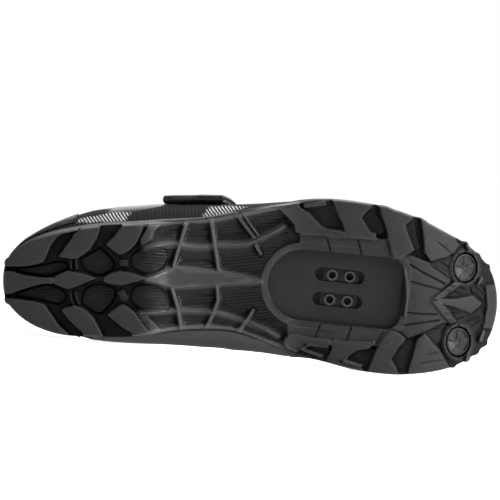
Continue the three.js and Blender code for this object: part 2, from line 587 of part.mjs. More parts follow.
// Frame of a toe stud: on the tread, its axis square to the slope of the toe
function studFrame({ along, across }) {
  const [x, y] = sharePoint([along, across]).toArray();
  const step = 4;
  const slope = (treadAt(x + step) - treadAt(x - step)) / (2 * step);
  const axis = new THREE.Vector3(slope, 0, -1).normalize();
  const turn = new THREE.Quaternion().setFromUnitVectors(new THREE.Vector3(0, 0, 1), axis);
  return new THREE.Matrix4().makeRotationFromQuaternion(turn).setPosition(x, y, treadAt(x));
}

// A round bar along its own Z, from one height to another
function bar(radius, bottom, top, segments = 24) {
  const geometry = new THREE.CylinderGeometry(radius, radius, top - bottom, segments);
  return geometry.rotateX(Math.PI / 2).translate(0, 0, (top + bottom) / 2);
}

// A rib between two plan points
function ribPrism({ from, to }) {
  const start = sharePoint(from);
  const end = sharePoint(to);
  const normal = end.clone().sub(start).normalize().rotateAround(new THREE.Vector2(), Math.PI / 2)
    .multiplyScalar(waistRibWidth / 2);
  const outline = [start.clone().add(normal), start.clone().sub(normal),
    end.clone().sub(normal), end.clone().add(normal)];
  return prism(outline, 0, heelStack);
}

const below = -5;
const aboveSole = heelStack + toeSpring;
const studRadius = studDiameter / 2;
const studSeatDepth = studThickness + gap;

function outsole() {
  const upright = (outline) => prism(outline, below, aboveSole);
  const windowRim = upright(windowOutline(rimWidth));
  const lugPrisms = joined(lugs.map(({ corners }) => upright(corners.map(sharePoint))));
  const railPrisms = joined(rails.map(({ corners }) => upright(corners.map(sharePoint)))).add(windowRim);
  const waistPrisms = joined([...waistRibs.map(ribPrism), upright(web.map(sharePoint))]).subtract(windowRim);
  let sole = soleBody()
    .add(soleSlab(0).intersect(lugPrisms))
    .add(soleSlab(railSink).intersect(railPrisms))
    .add(soleSlab(0).intersect(waistPrisms));
  for (const stud of studs) {
    const frame = studFrame(stud);
    const collar = bar(studRadius + gap + studCollar, -studSeatDepth, 0).applyMatrix4(frame);
    sole = sole.add(toSolid(collar));
  }
  for (const stud of studs) {
    const seat = bar(studRadius + gap, -studSeatDepth, studThickness).applyMatrix4(studFrame(stud));
    sole = sole.subtract(toSolid(seat));
  }
  const ledge = recessHeight - gap;
  sole = sole.subtract(prism(windowOutline(0), below, recessHeight));
  sole = sole.subtract(prism(windowOutline(plateLedge), ledge, aboveSole));
  return toGeometry(sole);
}

function midsolePlate() {
  let plate = prism(windowOutline(plateLedge - gap), recessHeight, recessHeight + plateThickness);
  for (const side of [-1, 1]) {
    plate = plate.subtract(prism(slotOutline(side), recessHeight - 1, recessHeight + plateThickness + 1));
  }
  return toGeometry(plate);
}

// Steel plate over the slots, its four tapped bosses reaching down into them
function cleatNutPlate() {
  const bottom = recessHeight + plateThickness + gap;
  const top = bottom + nutPlateThickness;
  const wide = cleatSpacing + bossDiameter + nutPlateMargin;
  const long = boltSpacing + bossDiameter + nutPlateMargin;
  const places = [-1, 1].flatMap((row) => [-1, 1].map((column) => [
    nutPlateShift + column * boltSpacing / 2, row * cleatSpacing / 2,
  ]));
  const box = new THREE.BoxGeometry(long, wide, nutPlateThickness)
    .translate(nutPlateShift, 0, bottom + nutPlateThickness / 2);
  let plate = toSolid(box);
  for (const [x, y] of places) {
    plate = plate.add(toSolid(bar(bossDiameter / 2, recessHeight + gap, top - gap, 16).translate(x, y, 0)));
  }
  for (const [x, y] of places) {
    plate = plate.subtract(toSolid(bar(boltBore / 2, recessHeight, top + 1, 12).translate(x, y, 0)));
  }
  return toGeometry(plate).applyMatrix4(cleatFrame);
}

// Plug of a stud seat: a disc with a hexagonal socket
function studPlug(stud) {
  const disc = toSolid(bar(studRadius, -studThickness, 0));
  const socket = toSolid(bar(studSocket / 2, -studThickness / 2, 1, 6));
  return toGeometry(disc.subtract(socket)).applyMatrix4(studFrame(stud));
}

function insole() {
  const inset = upperWall + insolePlay;
  const levels = [1, ...deckShares].map((share) => (side, section) => deckPoint(side, section, share, inset));
  return thickened(stitched(bothSides(levels)), insoleLift, insoleLift + insoleThickness);
}

const upperHeights = [0, 0.1, 0.2, 0.3, 0.42, 0.56, 0.7, 0.84, 1];
function upper() {
  const levels = upperHeights.map((height) => (side, section) => upperPoint(side, section, height));
  return thickened(stitched(bothSides(levels)), -upperWall, 0);
}

// Tongue under the throat, tucked below both edges, with a free end that widens above the collar
const tuck = 0.3;
const tongueFront = 12.6;
const tongueLean = 0.95;
const tongueWiden = 0.55;
const freeShare = 0.25;
const untuckShare = 0.3;
function tonguePoint(across, run) {
  const lower = 1 - freeShare;
  const tucked = 1 + tuck * (1 - smooth((run - lower + untuckShare) / untuckShare));
  const reach = (2 * across - 1) * tucked;
  if (run <= lower) return overPoint(tongueFront + (throatTop - tongueFront) * run / lower, reach);
  const out = (run - lower) / freeShare;
  const point = overPoint(throatTop, reach);
  const middle = overPoint(throatTop, 0);
  point.y = middle.y + (point.y - middle.y) * (1 + tongueWiden * smooth(out));
  const rise = new THREE.Vector3(-tongueLean, 0, 1).normalize();
  return point.addScaledVector(rise, out * tongueRise);
}

function tongue() {
  const depth = upperWall + tongueClearance;
  const surface = stitched(patch((u, v) => tonguePoint(u, v), 14, 11));
  return thickened(surface, -depth - tongueThickness, -depth);
}

// Counter round the heel: its sections each side, lower edge, rise at the back and loss at its ends
const counter = { reach: 4.6, foot: 0.06, rise: 0.5, fall: 0.2 };
function heelCounter() {
  const point = (u, v) => {
    const turn = 2 * u - 1;
    const side = turn > 0 ? 1 : -1;
    const height = counter.foot + v * (counter.rise - counter.fall * turn ** 2);
    return upperPoint(side, Math.abs(turn) * counter.reach, height);
  };
  const surface = stitched(patch((u, v) => point(1 - u, v), 20, 3));
  return thickened(surface, gap, gap + counterThickness);
}

// A strap over the shoe: from and to across, on a line at one section that slants back below the
// lateral top edge
const slantReach = 0.72;
function strap({ width, thickness, from, to, section: line, slant, columns }) {
  const point = (u, v) => {
    const across = from + (to - from) * u;
    const section = line - slant * smooth((-across - 1) / slantReach);
    const step = 0.1;
    const perSection = overPoint(section + step, across)
      .distanceTo(overPoint(section - step, across)) / (2 * step);
    return overPoint(section + (0.5 - v) * width / perSection, across);
  };
  return thickened(stitched(patch(point, columns, 3)), strapClearance, strapClearance + thickness);
}

const instepStrap = () => strap({
  width: instepStrapWidth,
  thickness: instepStrapThickness,
  from: -1.74,
  to: 1.32,
  section: 9.2,
  slant: 1.4,
  columns: 24,
});
const forefootStrap = () => strap({
  width: forefootStrapWidth,
  thickness: forefootStrapThickness,
  from: -1.36,
  to: 1.4,
  section: 11.2,
  slant: 0,
  columns: 22,
});

// Finishes and densities, in grams per cubic centimetre
const finishes = {
  rubber: { color: 0x2b2b2d, roughness: 0.7, metalness: 0, density: 1.15 },
  plate: { color: 0x232325, roughness: 0.55, metalness: 0, density: 1.15 },
  steel: { color: 0x6f7072, roughness: 0.4, metalness: 1, density: 7.85 },
  plug: { color: 0x2a2a2c, roughness: 0.6, metalness: 0, density: 1.1 },
  foam: { color: 0x3a3a3c, roughness: 0.95, metalness: 0, density: 0.2 },
  leather: { color: 0x4a4a4c, roughness: 0.5, metalness: 0, density: 0.75 },
  padding: { color: 0x2e2e30, roughness: 0.9, metalness: 0, density: 0.3 },
  counter: { color: 0x2c2c2e, roughness: 0.35, metalness: 0, density: 1.1 },
  strap: { color: 0x161617, roughness: 0.45, metalness: 0, density: 0.7 },
};

const pieces = [
  { name: 'outsole', geometry: outsole(), finish: 'rubber' },
  { name: 'midsole_plate', geometry: midsolePlate(), finish: 'plate' },
  { name: 'cleat_nut_plate', geometry: cleatNutPlate(), finish: 'steel' },
  ...studs.map((stud) => ({ name: stud.name, geometry: studPlug(stud), finish: 'plug' })),
  { name: 'insole', geometry: insole(), finish: 'foam' },
  { name: 'upper', geometry: upper(), finish: 'leather' },
  { name: 'tongue', geometry: tongue(), finish: 'padding' },
  { name: 'heel_counter', geometry: heelCounter(), finish: 'counter' },
  { name: 'instep_strap', geometry: instepStrap(), finish: 'strap' },
  { name: 'forefoot_strap', geometry: forefootStrap(), finish: 'strap' },
];

// Centre of mass of all pieces
function centreOfMass() {
  const sum = new THREE.Vector3();
  let mass = 0;
  for (const { geometry, finish } of pieces) {
    const position = geometry.getAttribute('position');
    const index = geometry.getIndex().array;
    for (let i = 0; i < index.length; i += 3) {
      const [a, b, c] = [0, 1, 2].map((k) => new THREE.Vector3().fromBufferAttribute(position, index[i + k]));
      const part = a.dot(b.clone().cross(c)) / 6 * finishes[finish].density;
      mass += part;
      sum.addScaledVector(a.add(b).add(c), part / 4);
    }
  }
  return sum.divideScalar(mass);
}

// The three points on which the shoe rests, medial side down: the triangle round the centre of mass is
// moved out to the furthest point above its plane, until no point is left outside it
function restingTriangle(points, centre) {
  const far = 1e4;
  let corners = [[-1, -1], [1, -1], [0, 1]].map(([x, z]) => new THREE.Vector3(x * far, -far, z * far).add(centre));
  const turn = (a, b, p) => (b.x - a.x) * (p.z - a.z) - (b.z - a.z) * (p.x - a.x);
  const holds = ([a, b, c]) => {
    const signs = [turn(a, b, centre), turn(b, c, centre), turn(c, a, centre)].map(Math.sign);
    return signs.every((sign) => sign >= 0) || signs.every((sign) => sign <= 0);
  };
  const tolerance = 1e-4;
  for (;;) {
    const plane = new THREE.Plane().setFromCoplanarPoints(...corners);
    if (plane.normal.y < 0) plane.negate();
    let best = null;
    let furthest = tolerance;
    for (const point of points) {
      const distance = plane.distanceToPoint(point);
      if (distance > furthest) [best, furthest] = [point, distance];
    }
    if (!best) return { corners, plane };
    const options = corners.map((corner, k) => corners.map((other, j) => (j === k ? best : other)));
    corners = options.find(holds);
  }
}

// Matrix that lays the standing shoe on its medial side, toe along +X, sole facing -Y
function laidDown() {
  const points = pieces.flatMap(({ geometry }) => {
    const position = geometry.getAttribute('position');
    return Array.from({ length: position.count }, (_, i) => new THREE.Vector3().fromBufferAttribute(position, i));
  });
  const { plane } = restingTriangle(points, centreOfMass());
  const up = plane.normal.clone().negate();
  const along = new THREE.Vector3(1, 0, 0).projectOnPlane(up).normalize();
  const across = up.clone().cross(along);
  const turn = new THREE.Matrix4().makeBasis(along, across, up).transpose();
  const box = new THREE.Box3().setFromPoints(points.map((point) => point.clone().applyMatrix4(turn)));
  const centre = box.getCenter(new THREE.Vector3());
  return turn.premultiply(new THREE.Matrix4().makeTranslation(-centre.x, -centre.y, -box.min.z));
}

const shoe = new THREE.Group();
for (const { name, geometry, finish } of pieces) {
  const { color, roughness, metalness } = finishes[finish];
  const mesh = new THREE.Mesh(geometry, new THREE.MeshStandardMaterial({ color, roughness, metalness }));
  mesh.name = name;
  shoe.add(mesh);
}
shoe.applyMatrix4(laidDown());

const model = new THREE.Group();
model.add(shoe);
export default model;
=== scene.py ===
import json
import math

import bmesh
import bpy
import numpy as np
from mathutils import Matrix, Vector
from mathutils.geometry import delaunay_2d_cdt, tessellate_polygon


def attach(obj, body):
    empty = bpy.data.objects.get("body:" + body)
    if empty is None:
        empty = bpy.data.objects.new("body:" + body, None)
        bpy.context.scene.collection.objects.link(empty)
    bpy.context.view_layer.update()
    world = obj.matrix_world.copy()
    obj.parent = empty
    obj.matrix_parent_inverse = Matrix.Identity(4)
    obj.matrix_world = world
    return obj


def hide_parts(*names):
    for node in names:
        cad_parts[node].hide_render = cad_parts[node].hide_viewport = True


bl_info = {
    "name": "Cycling shoe",
    "version": (1, 0, 0),
    "blender": (4, 5, 0),
    "location": "View3D > Sidebar > Shoe",
    "description": "Builds the looks of an off-road cycling shoe that lies on its side",
    "category": "Object",
}

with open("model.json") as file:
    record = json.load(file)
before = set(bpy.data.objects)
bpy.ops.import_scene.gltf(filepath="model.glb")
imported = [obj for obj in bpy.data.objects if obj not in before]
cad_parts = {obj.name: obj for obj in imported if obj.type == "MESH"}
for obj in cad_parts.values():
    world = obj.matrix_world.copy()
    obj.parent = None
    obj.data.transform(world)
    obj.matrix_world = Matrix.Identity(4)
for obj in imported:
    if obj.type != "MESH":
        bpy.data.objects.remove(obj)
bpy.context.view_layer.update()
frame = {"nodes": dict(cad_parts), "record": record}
record = frame["record"]

# Sizes of the shoe in its own frame, in millimetres: +X to the toe, +Y to the medial side, +Z up
LENGTH = 280.0
HEEL_WIDTH = 62.0
BALL_WIDTH = 98.5
HEEL_STACK = 26.0
ARCH_HEIGHT = 12.5
TOE_SPRING = 33.0
HEEL_HEIGHT = 95.0
INSTEP_HEIGHT = 103.0
LUG_DEPTH = 6.0
CUP_DEPTH = 5.0
SIDE_FLARE = 5.0
BELLY_REACH = 8.0
SIDE_STEP = 0.6
GAP = 0.3
WALL = 2.0
RECESS_HEIGHT = 8.5
RECESS_LENGTH = 76.0
RECESS_WIDTH = 40.0
RECESS_CORNER = 8.0
RECESS_BEHIND = 20.0
RECESS_TURN = math.radians(6)
PLATE_LEDGE = 3.0
CLEAT_CENTRE = (0.676 * LENGTH, 0.041 * BALL_WIDTH)
STUD_RADIUS = 8.4
STUD_THICKNESS = 4.0
STUD_COLLAR = 2.2

# The width grows from that of the heel to that of the ball between these shares of the length
WIDTH_START = 0.30
WIDTH_END = 0.65

# Sections along the loop curves: the last one at the toe, and where the throat starts and ends
LAST = 20
THROAT_TOP = 8
THROAT_END = 13

# Stud seats: shares of the length and of the local width
STUDS = {"lateral": (0.934, -0.071), "medial": (0.920, 0.355)}


def table(columns, text):
    """Columns of numbers by name."""
    rows = np.array([[float(cell) for cell in line.split()] for line in text.split("\n") if line.strip()])
    return dict(zip(columns.split(), rows.T))


SECTIONS = table("along lateral medial flareL flareM bellyL bellyM at", """
    0 0.016 0.016 0 0 0 0 0.26
    0.005 -0.15 0.161 0 0 0 0 0.26
    0.021 -0.26 0.262 0 0 0 0 0.26
    0.054 -0.363 0.379 0 0 0.11 0 0.28
    0.107 -0.44 0.471 0.05 0.05 0.5 0.14 0.32
    0.179 -0.494 0.498 0.1 0.1 0.84 0.52 0.37
    0.257 -0.516 0.497 0.15 0.15 0.94 0.74 0.4
    0.329 -0.531 0.459 0.15 0.25 0.93 1.06 0.33
    0.4 -0.499 0.399 0.1 0.35 0.86 1.31 0.28
    0.464 -0.478 0.364 0 0.35 0.54 1.37 0.28
    0.521 -0.47 0.384 -0.1 0.2 0.26 1.02 0.28
    0.579 -0.462 0.426 -0.24 0 0.17 0.52 0.28
    0.643 -0.465 0.455 -0.4 -0.12 0.19 0.28 0.28
    0.707 -0.454 0.502 -0.44 -0.4 0.19 0.2 0.3
    0.771 -0.421 0.528 -0.44 -0.44 0.18 0.2 0.3
    0.836 -0.357 0.528 -0.44 -0.44 0.15 0.18 0.3
    0.893 -0.272 0.505 -0.44 -0.44 0.12 0.15 0.3
    0.936 -0.2 0.459 -0.44 -0.44 0.1 0.12 0.32
    0.968 -0.114 0.396 -0.44 -0.44 0.1 0.1 0.34
    0.989 -0.025 0.299 -0.44 -0.44 0.1 0.1 0.36
    1 0.142 0.142 -0.44 -0.44 0.1 0.1 0.36
""")

TOPS = table("along lateral medial collar instep lift reach drop", """
    0.034 0.01 0.01 1 0 0.5 0.1 0.35
    0.037 -0.06 0.08 0.998 0 0.5 0.1 0.35
    0.047 -0.125 0.142 0.99 0 0.5 0.15 0.35
    0.071 -0.18 0.193 0.96 0 0.48 0.2 0.38
    0.114 -0.225 0.228 0.89 0 0.45 0.25 0.4
    0.179 -0.257 0.245 0.81 0 0.45 0.28 0.4
    0.25 -0.262 0.25 0.8 0 0.45 0.3 0.38
    0.314 -0.232 0.245 0.4 0.51 0.46 0.34 0.34
    0.371 -0.172 0.205 0 1 0.5 0.42 0.28
    0.443 -0.132 0.183 0 0.95 0.5 0.48 0.24
    0.507 -0.102 0.165 0 0.853 0.52 0.5 0.2
    0.564 -0.068 0.142 0 0.762 0.54 0.52 0.14
    0.614 -0.022 0.108 0 0.686 0.55 0.54 0.06
    0.657 0.052 0.052 0 0.632 0.56 0.56 0
    0.7 0.061 0.061 0 0.597 0.57 0.57 0
    0.743 0.071 0.071 0 0.573 0.58 0.58 0
    0.782 0.081 0.081 0 0.556 0.58 0.58 0
    0.818 0.088 0.088 0 0.534 0.58 0.58 0
    0.846 0.094 0.094 0 0.505 0.58 0.58 0
    0.868 0.099 0.099 0 0.474 0.58 0.58 0
    0.882 0.102 0.102 0 0.449 0.58 0.58 0
""")

PROFILE = table("along lift spring groove deck cup", """
    -0.01 0.34 0 1 1 1
    0.03 0.08 0 1.04 1 1
    0.06 0 0 1.08 1 1
    0.25 0 0 1.08 0.98 1
    0.29 0.08 0 0.95 0.98 1
    0.33 0.66 0 0.45 0.98 1
    0.37 0.92 0 0.42 0.96 1
    0.42 1 0 0.42 0.93 1
    0.46 0.93 0 0.44 0.87 1
    0.5 0.72 0 0.55 0.78 0.9
    0.54 0.42 0 0.78 0.7 0.8
    0.58 0.24 0 0.92 0.63 0.8
    0.65 0.06 0 0.97 0.56 0.7
    0.69 0.01 0 0.97 0.55 0.7
    0.77 0 0 0.97 0.54 0.7
    0.8 0 0.022 0.95 0.53 0.7
    0.84 0 0.1 0.8 0.47 0.6
    0.875 0 0.23 0.65 0.41 0.6
    0.91 0 0.4 0.52 0.38 0.5
    0.945 0 0.605 0.45 0.36 0.5
    0.98 0 0.84 0.4 0.34 0.5
    1 0 1 0.38 0.33 0.5
""")

def smooth(value):
    t = np.clip(value, 0, 1)
    return t * t * (3 - 2 * t)


def width_at(x):
    """Width that the across shares refer to."""
    share = (x / LENGTH - WIDTH_START) / (WIDTH_END - WIDTH_START)
    return HEEL_WIDTH + (BALL_WIDTH - HEEL_WIDTH) * smooth(share)


def profile_at(column, x):
    """One column of the profile table at x, on a smooth curve through its rows."""
    knots, values = PROFILE["along"], PROFILE[column]
    along = np.clip(np.asarray(x, float) / LENGTH, knots[0], 1)
    row = np.searchsorted(knots[1:-1], along, side="left")
    last = len(knots) - 1

    def slope(index):
        low, high = np.maximum(0, index - 1), np.minimum(last, index + 1)
        return (values[high] - values[low]) / (knots[high] - knots[low])

    span = knots[row + 1] - knots[row]
    t = (along - knots[row]) / span
    t2, t3 = t * t, t * t * t
    return ((2 * t3 - 3 * t2 + 1) * values[row] + (t3 - 2 * t2 + t) * span * slope(row)
            + (3 * t2 - 2 * t3) * values[row + 1] + (t3 - t2) * span * slope(row + 1))


def tread_at(x):
    return profile_at("lift", x) * ARCH_HEIGHT + profile_at("spring", x) * TOE_SPRING


def depth_at(x):
    """Depth of the tread: how far the groove floor lies above the lugs' faces."""
    return profile_at("groove", x) * LUG_DEPTH


def deck_at(x):
    return profile_at("deck", x) * HEEL_STACK + profile_at("spring", x) * TOE_SPRING


def cup_at(x):
    return profile_at("cup", x) * CUP_DEPTH


def vec(*parts):
    return np.stack(np.broadcast_arrays(*[np.asarray(p, float) for p in parts]), axis=-1)


def unit(vectors):
    return vectors / np.maximum(np.linalg.norm(vectors, axis=-1, keepdims=True), 1e-9)


def lerp(a, b, t):
    return a + (b - a) * np.asarray(t)[..., None]


def bezier(a, b, c, d, t):
    t = np.asarray(t)[..., None]
    s = 1 - t
    return s ** 3 * a + 3 * s * s * t * b + 3 * s * t * t * c + t ** 3 * d


class LoopCurve:
    """A closed centripetal curve through the lateral rows from heel to toe, then the medial ones back."""

    def __init__(self, lateral, medial):
        self.points = np.array(list(lateral) + list(medial[-2:0:-1]))

    def at(self, side, section):
        count = len(self.points)
        side, section = np.broadcast_arrays(side, np.asarray(section, float))
        place = np.mod(np.where(side < 0, section, count - section), count)
        first = np.floor(place).astype(int)
        w = (place - first)[..., None]
        p0, p1, p2, p3 = (self.points[(first + k) % count] for k in (-1, 0, 1, 2))

        def knot(a, b):
            return np.sum((a - b) ** 2, axis=-1, keepdims=True) ** 0.25

        d0, d1, d2 = knot(p0, p1), knot(p1, p2), knot(p2, p3)
        d1 = np.where(d1 < 1e-4, 1.0, d1)
        d0, d2 = np.where(d0 < 1e-4, d1, d0), np.where(d2 < 1e-4, d1, d2)
        t1 = ((p1 - p0) / d0 - (p2 - p0) / (d0 + d1) + (p2 - p1) / d1) * d1
        t2 = ((p2 - p1) / d1 - (p3 - p1) / (d1 + d2) + (p3 - p2) / d2) * d1
        return (p1 + t1 * w + (-3 * p1 + 3 * p2 - 2 * t1 - t2) * w ** 2
                + (2 * p1 - 2 * p2 + t1 + t2) * w ** 3)


def sides_of(place):
    """Side and section of a place on the loop curves."""
    return np.where(place <= LAST, -1, 1), np.where(place <= LAST, place, 2 * LAST - place)


def plan_row(column):
    x = SECTIONS["along"] * LENGTH
    return vec(x, SECTIONS[column] * width_at(x), 0)


def top_row(column):
    x = TOPS["along"] * LENGTH
    height = TOPS["collar"] * HEEL_HEIGHT + TOPS["instep"] * INSTEP_HEIGHT
    return vec(x, TOPS[column] * BALL_WIDTH, height + profile_at("spring", x) * TOE_SPRING)


edge_curve = LoopCurve(plan_row("lateral"), plan_row("medial"))
reach_curve = LoopCurve(
    vec(SECTIONS["flareL"] * SIDE_FLARE, SECTIONS["bellyL"] * BELLY_REACH, SECTIONS["at"]),
    vec(SECTIONS["flareM"] * SIDE_FLARE, SECTIONS["bellyM"] * BELLY_REACH, SECTIONS["at"]))
top_curve = LoopCurve(top_row("lateral"), top_row("medial"))
shape_rows = vec(TOPS["lift"], TOPS["reach"], TOPS["drop"])
shape_curve = LoopCurve(shape_rows, shape_rows)


def outward_at(side, section):
    """Outward direction of the tread's edge, level with the ground."""
    signed = np.where(np.asarray(side) < 0, section, -np.asarray(section, float))
    before, after = edge_curve.at(-1, signed - 0.02), edge_curve.at(-1, signed + 0.02)
    return unit(vec(after[..., 1] - before[..., 1], before[..., 0] - after[..., 0], 0))


def feather_at(side, section, out=0.0):
    """Feather line, where the sole ends and the upper begins."""
    flare = reach_curve.at(side, section)[..., :1]
    point = edge_curve.at(side, section) + outward_at(side, section) * (flare + out)
    x = point[..., 0]
    return vec(x, point[..., 1], deck_at(x) + cup_at(x))


def middle_at(section):
    both = (edge_curve.at(-1, section) + edge_curve.at(1, section)) / 2
    return vec(14 + both[..., 0] * (LENGTH - 32) / LENGTH, both[..., 1], 0)


def deck_point(side, section, share, inset=0.0):
    middle = middle_at(section)
    full = feather_at(side, section)
    point = lerp(middle, feather_at(side, section, -inset), share)
    reach = np.hypot(point[..., 0] - middle[..., 0], point[..., 1] - middle[..., 1])
    whole = np.hypot(full[..., 0] - middle[..., 0], full[..., 1] - middle[..., 1])
    x = point[..., 0]
    return vec(x, point[..., 1], deck_at(x) + cup_at(x) * (reach / whole) ** 3)


def top_at(side, section):
    both = (top_curve.at(-1, section) + top_curve.at(1, section)) / 2
    return np.where((np.asarray(section) < THROAT_END)[..., None], top_curve.at(side, section), both)


def upper_point(side, section, height):
    """The upper's outer face: height 0 is the feather line, 1 the top edge."""
    side, section, height = np.broadcast_arrays(side, np.asarray(section, float), np.asarray(height, float))
    up = np.array([0.0, 0.0, 1.0])
    foot = feather_at(side, section) + up * GAP
    top = top_at(side, section)
    reach = reach_curve.at(side, section)
    belly, share = reach[..., 1:2], reach[..., 2:3]
    shape = shape_curve.at(side, section)
    lift, inset, drop = shape[..., 0:1], shape[..., 1:2], shape[..., 2:3]
    out = outward_at(side, section)
    rise = top[..., 2:3] - foot[..., 2:3]
    lower, upper = rise * share, rise * (1 - share)
    widest = foot + out * belly + up * lower
    below = bezier(foot, foot + out * belly * 0.75 + up * lower * 0.3, widest - up * lower * 0.45, widest,
                   height / 0.3)
    inward = (widest - top) * np.array([1.0, 1.0, 0.0])
    above = bezier(widest, widest + up * lift * upper, top + inward * inset - up * drop * upper, top,
                   (height - 0.3) / 0.7)
    return np.where((height < 0.3)[..., None], below, above)


def over_point(section, across):
    """A line over the shoe, from -2 at the lateral feather line to 2 at the medial one."""
    section, across = np.broadcast_arrays(np.asarray(section, float), np.asarray(across, float))
    start, end = upper_point(-1, section, 1.0), upper_point(1, section, 1.0)
    handle = np.linalg.norm(end - start, axis=-1, keepdims=True) * 0.36
    leave = unit(start - upper_point(-1, section, 0.96))
    arrive = unit(end - upper_point(1, section, 0.96))
    bridge = bezier(start, start + leave * handle, end + arrive * handle, end, (across + 1) / 2)
    side = np.where(across < 0, -1, 1)
    wall = upper_point(side, section, np.clip(2 - np.abs(across), 0, 1))
    return np.where((np.abs(across) >= 1)[..., None], wall, bridge)


# Placing: the shoe's frame in the frame of the record, from its cleat seat and the nut plate's slide
def shoe_frame():
    seat = next(mount for mount in record["mounts"] if mount["name"] == "cleat_seat")
    up = -Vector(seat["axis"]).normalized()
    slide = Vector(record["behaviour"]["joints"][0]["axis"])
    along = (Matrix.Rotation(-RECESS_TURN, 3, up) @ slide).normalized()
    basis = Matrix((along, up.cross(along), up)).transposed()
    seat_point = Vector((*CLEAT_CENTRE, RECESS_HEIGHT)) / 1000
    placed = basis.to_4x4()
    placed.translation = Vector(seat["pos_m"]) - basis @ seat_point
    return placed


SHOE = shoe_frame()
TURN = np.array(SHOE.to_3x3())
PLACE = np.array(SHOE.translation)


def to_world(points):
    return np.asarray(points, float) / 1000 @ TURN.T + PLACE


# Plan work: outlines in percent, along of the length and across of the local width
def plan(pairs):
    share = np.array([[float(cell) for cell in pair.split(",")] for pair in pairs.split()]) / 100
    x = share[:, 0] * LENGTH
    return np.stack([x, share[:, 1] * width_at(np.clip(x, 0, LENGTH))], axis=1)


def plan_mm(pairs):
    """Outline in percent along and millimetres across."""
    cells = np.array([[float(cell) for cell in pair.split(",")] for pair in pairs.split()])
    return np.stack([cells[:, 0] * LENGTH / 100, cells[:, 1]], axis=1)


def wound(outline):
    x, y = outline.T
    area = np.sum(x * np.roll(y, -1) - np.roll(x, -1) * y)
    return outline if area > 0 else outline[::-1]


def rounded(outline, cut=0.22, most=1.6):
    """The outline with its corners cut twice."""
    for _ in range(2):
        ahead = np.roll(outline, -1, axis=0)
        span = np.linalg.norm(ahead - outline, axis=1, keepdims=True)
        share = np.minimum(cut, most / np.maximum(span, 1e-6))
        outline = np.stack([outline + (ahead - outline) * share, ahead - (ahead - outline) * share], axis=1)
        outline = outline.reshape(-1, 2)
        most *= 0.5
    return outline


def moved_out(outline, distance):
    """The outline with its edges moved out, mitred at the corners."""
    outline = wound(outline)
    ahead = np.roll(outline, -1, axis=0) - outline
    normal = unit(np.stack([ahead[:, 1], -ahead[:, 0]], axis=1))
    both = normal + np.roll(normal, 1, axis=0)
    scale = 2 / np.maximum(np.sum(both * both, axis=1, keepdims=True), 0.7)
    return outline + both * scale * distance


def stroke(line, width, end=None):
    """Outline round an open line, as wide as given at its start and end."""
    end = width if end is None else end
    line = np.asarray(line, float)
    run = np.concatenate([[0], np.cumsum(np.linalg.norm(np.diff(line, axis=0), axis=1))])
    half = (width + (end - width) * run / run[-1])[:, None] / 2
    ahead = np.gradient(line, axis=0)
    normal = unit(np.stack([ahead[:, 1], -ahead[:, 0]], axis=1))
    return np.concatenate([line + normal * half, (line - normal * half)[::-1]])


def distance_to(points, outline, reach=2.5):
    """Signed distance in the plane, negative inside the outline and exact up to the reach."""
    a, b = outline, np.roll(outline, -1, axis=0)
    low, high = outline.min(axis=0) - reach, outline.max(axis=0) + reach
    near = np.all((points >= low) & (points <= high), axis=1)
    result = np.full(len(points), 9.0)
    p = points[near][:, None]
    span = (b - a)[None]
    t = np.clip(np.sum((p - a) * span, axis=2) / np.maximum(np.sum(span * span, axis=2), 1e-12), 0, 1)
    away = np.linalg.norm(p - (a + t[..., None] * span), axis=2).min(axis=1)
    crosses = (a[:, 1] > p[..., 1]) != (b[:, 1] > p[..., 1])
    rise = np.where(np.abs(b[:, 1] - a[:, 1]) < 1e-9, 1e-9, b[:, 1] - a[:, 1])
    right = p[..., 0] < (b[:, 0] - a[:, 0]) * (p[..., 1] - a[:, 1]) / rise + a[:, 0]
    inside = np.sum(crosses & right, axis=1) % 2 == 1
    result[near] = np.where(inside, -away, away)
    return result


def lip(inside, radius):
    """Drop of a rounded edge at a distance inside it."""
    d = np.clip(inside, 0, radius)
    return radius - np.sqrt(np.maximum(radius ** 2 - (radius - d) ** 2, 0))


# Window and studs
def in_cleat_frame(points):
    c, s = math.cos(RECESS_TURN), math.sin(RECESS_TURN)
    x, y = np.asarray(points, float).T
    return np.stack([CLEAT_CENTRE[0] + c * x - s * y, CLEAT_CENTRE[1] + s * x + c * y], axis=1)


def arc(cx, cy, radius, start, end, steps):
    angle = np.linspace(start, end, steps + 1)
    return np.stack([cx + radius * np.cos(angle), cy + radius * np.sin(angle)], axis=1)


def window_outline(margin, steps=10):
    half, corner = RECESS_WIDTH / 2 + margin, RECESS_CORNER + margin
    rear = -RECESS_BEHIND
    front = rear - RECESS_WIDTH / 2 + RECESS_LENGTH + margin
    quarter = math.pi / 2
    return in_cleat_frame(np.concatenate([
        arc(rear, 0, half, quarter, 3 * quarter, 3 * steps),
        arc(front - corner, corner - half, corner, -quarter, 0, steps),
        arc(front - corner, half - corner, corner, 0, quarter, steps)]))


def stud_frame(name):
    along, across = STUDS[name]
    x = along * LENGTH
    y = across * width_at(x)
    slope = (tread_at(x + 4) - tread_at(x - 4)) / 8
    axis = Vector((slope, 0, -1)).normalized()
    turn = Vector((0, 0, 1)).rotation_difference(axis).to_matrix().to_4x4()
    return Matrix.Translation((x, y, float(tread_at(x)))) @ turn, float(slope)


def stud_ring(name, radius, steps=48):
    frame_, _ = stud_frame(name)
    ring = arc(0, 0, radius, 0, 2 * math.pi, steps)[:-1]
    placed = np.array([frame_ @ Vector((x, y, 0)) for x, y in ring])
    return wound(placed[:, :2])


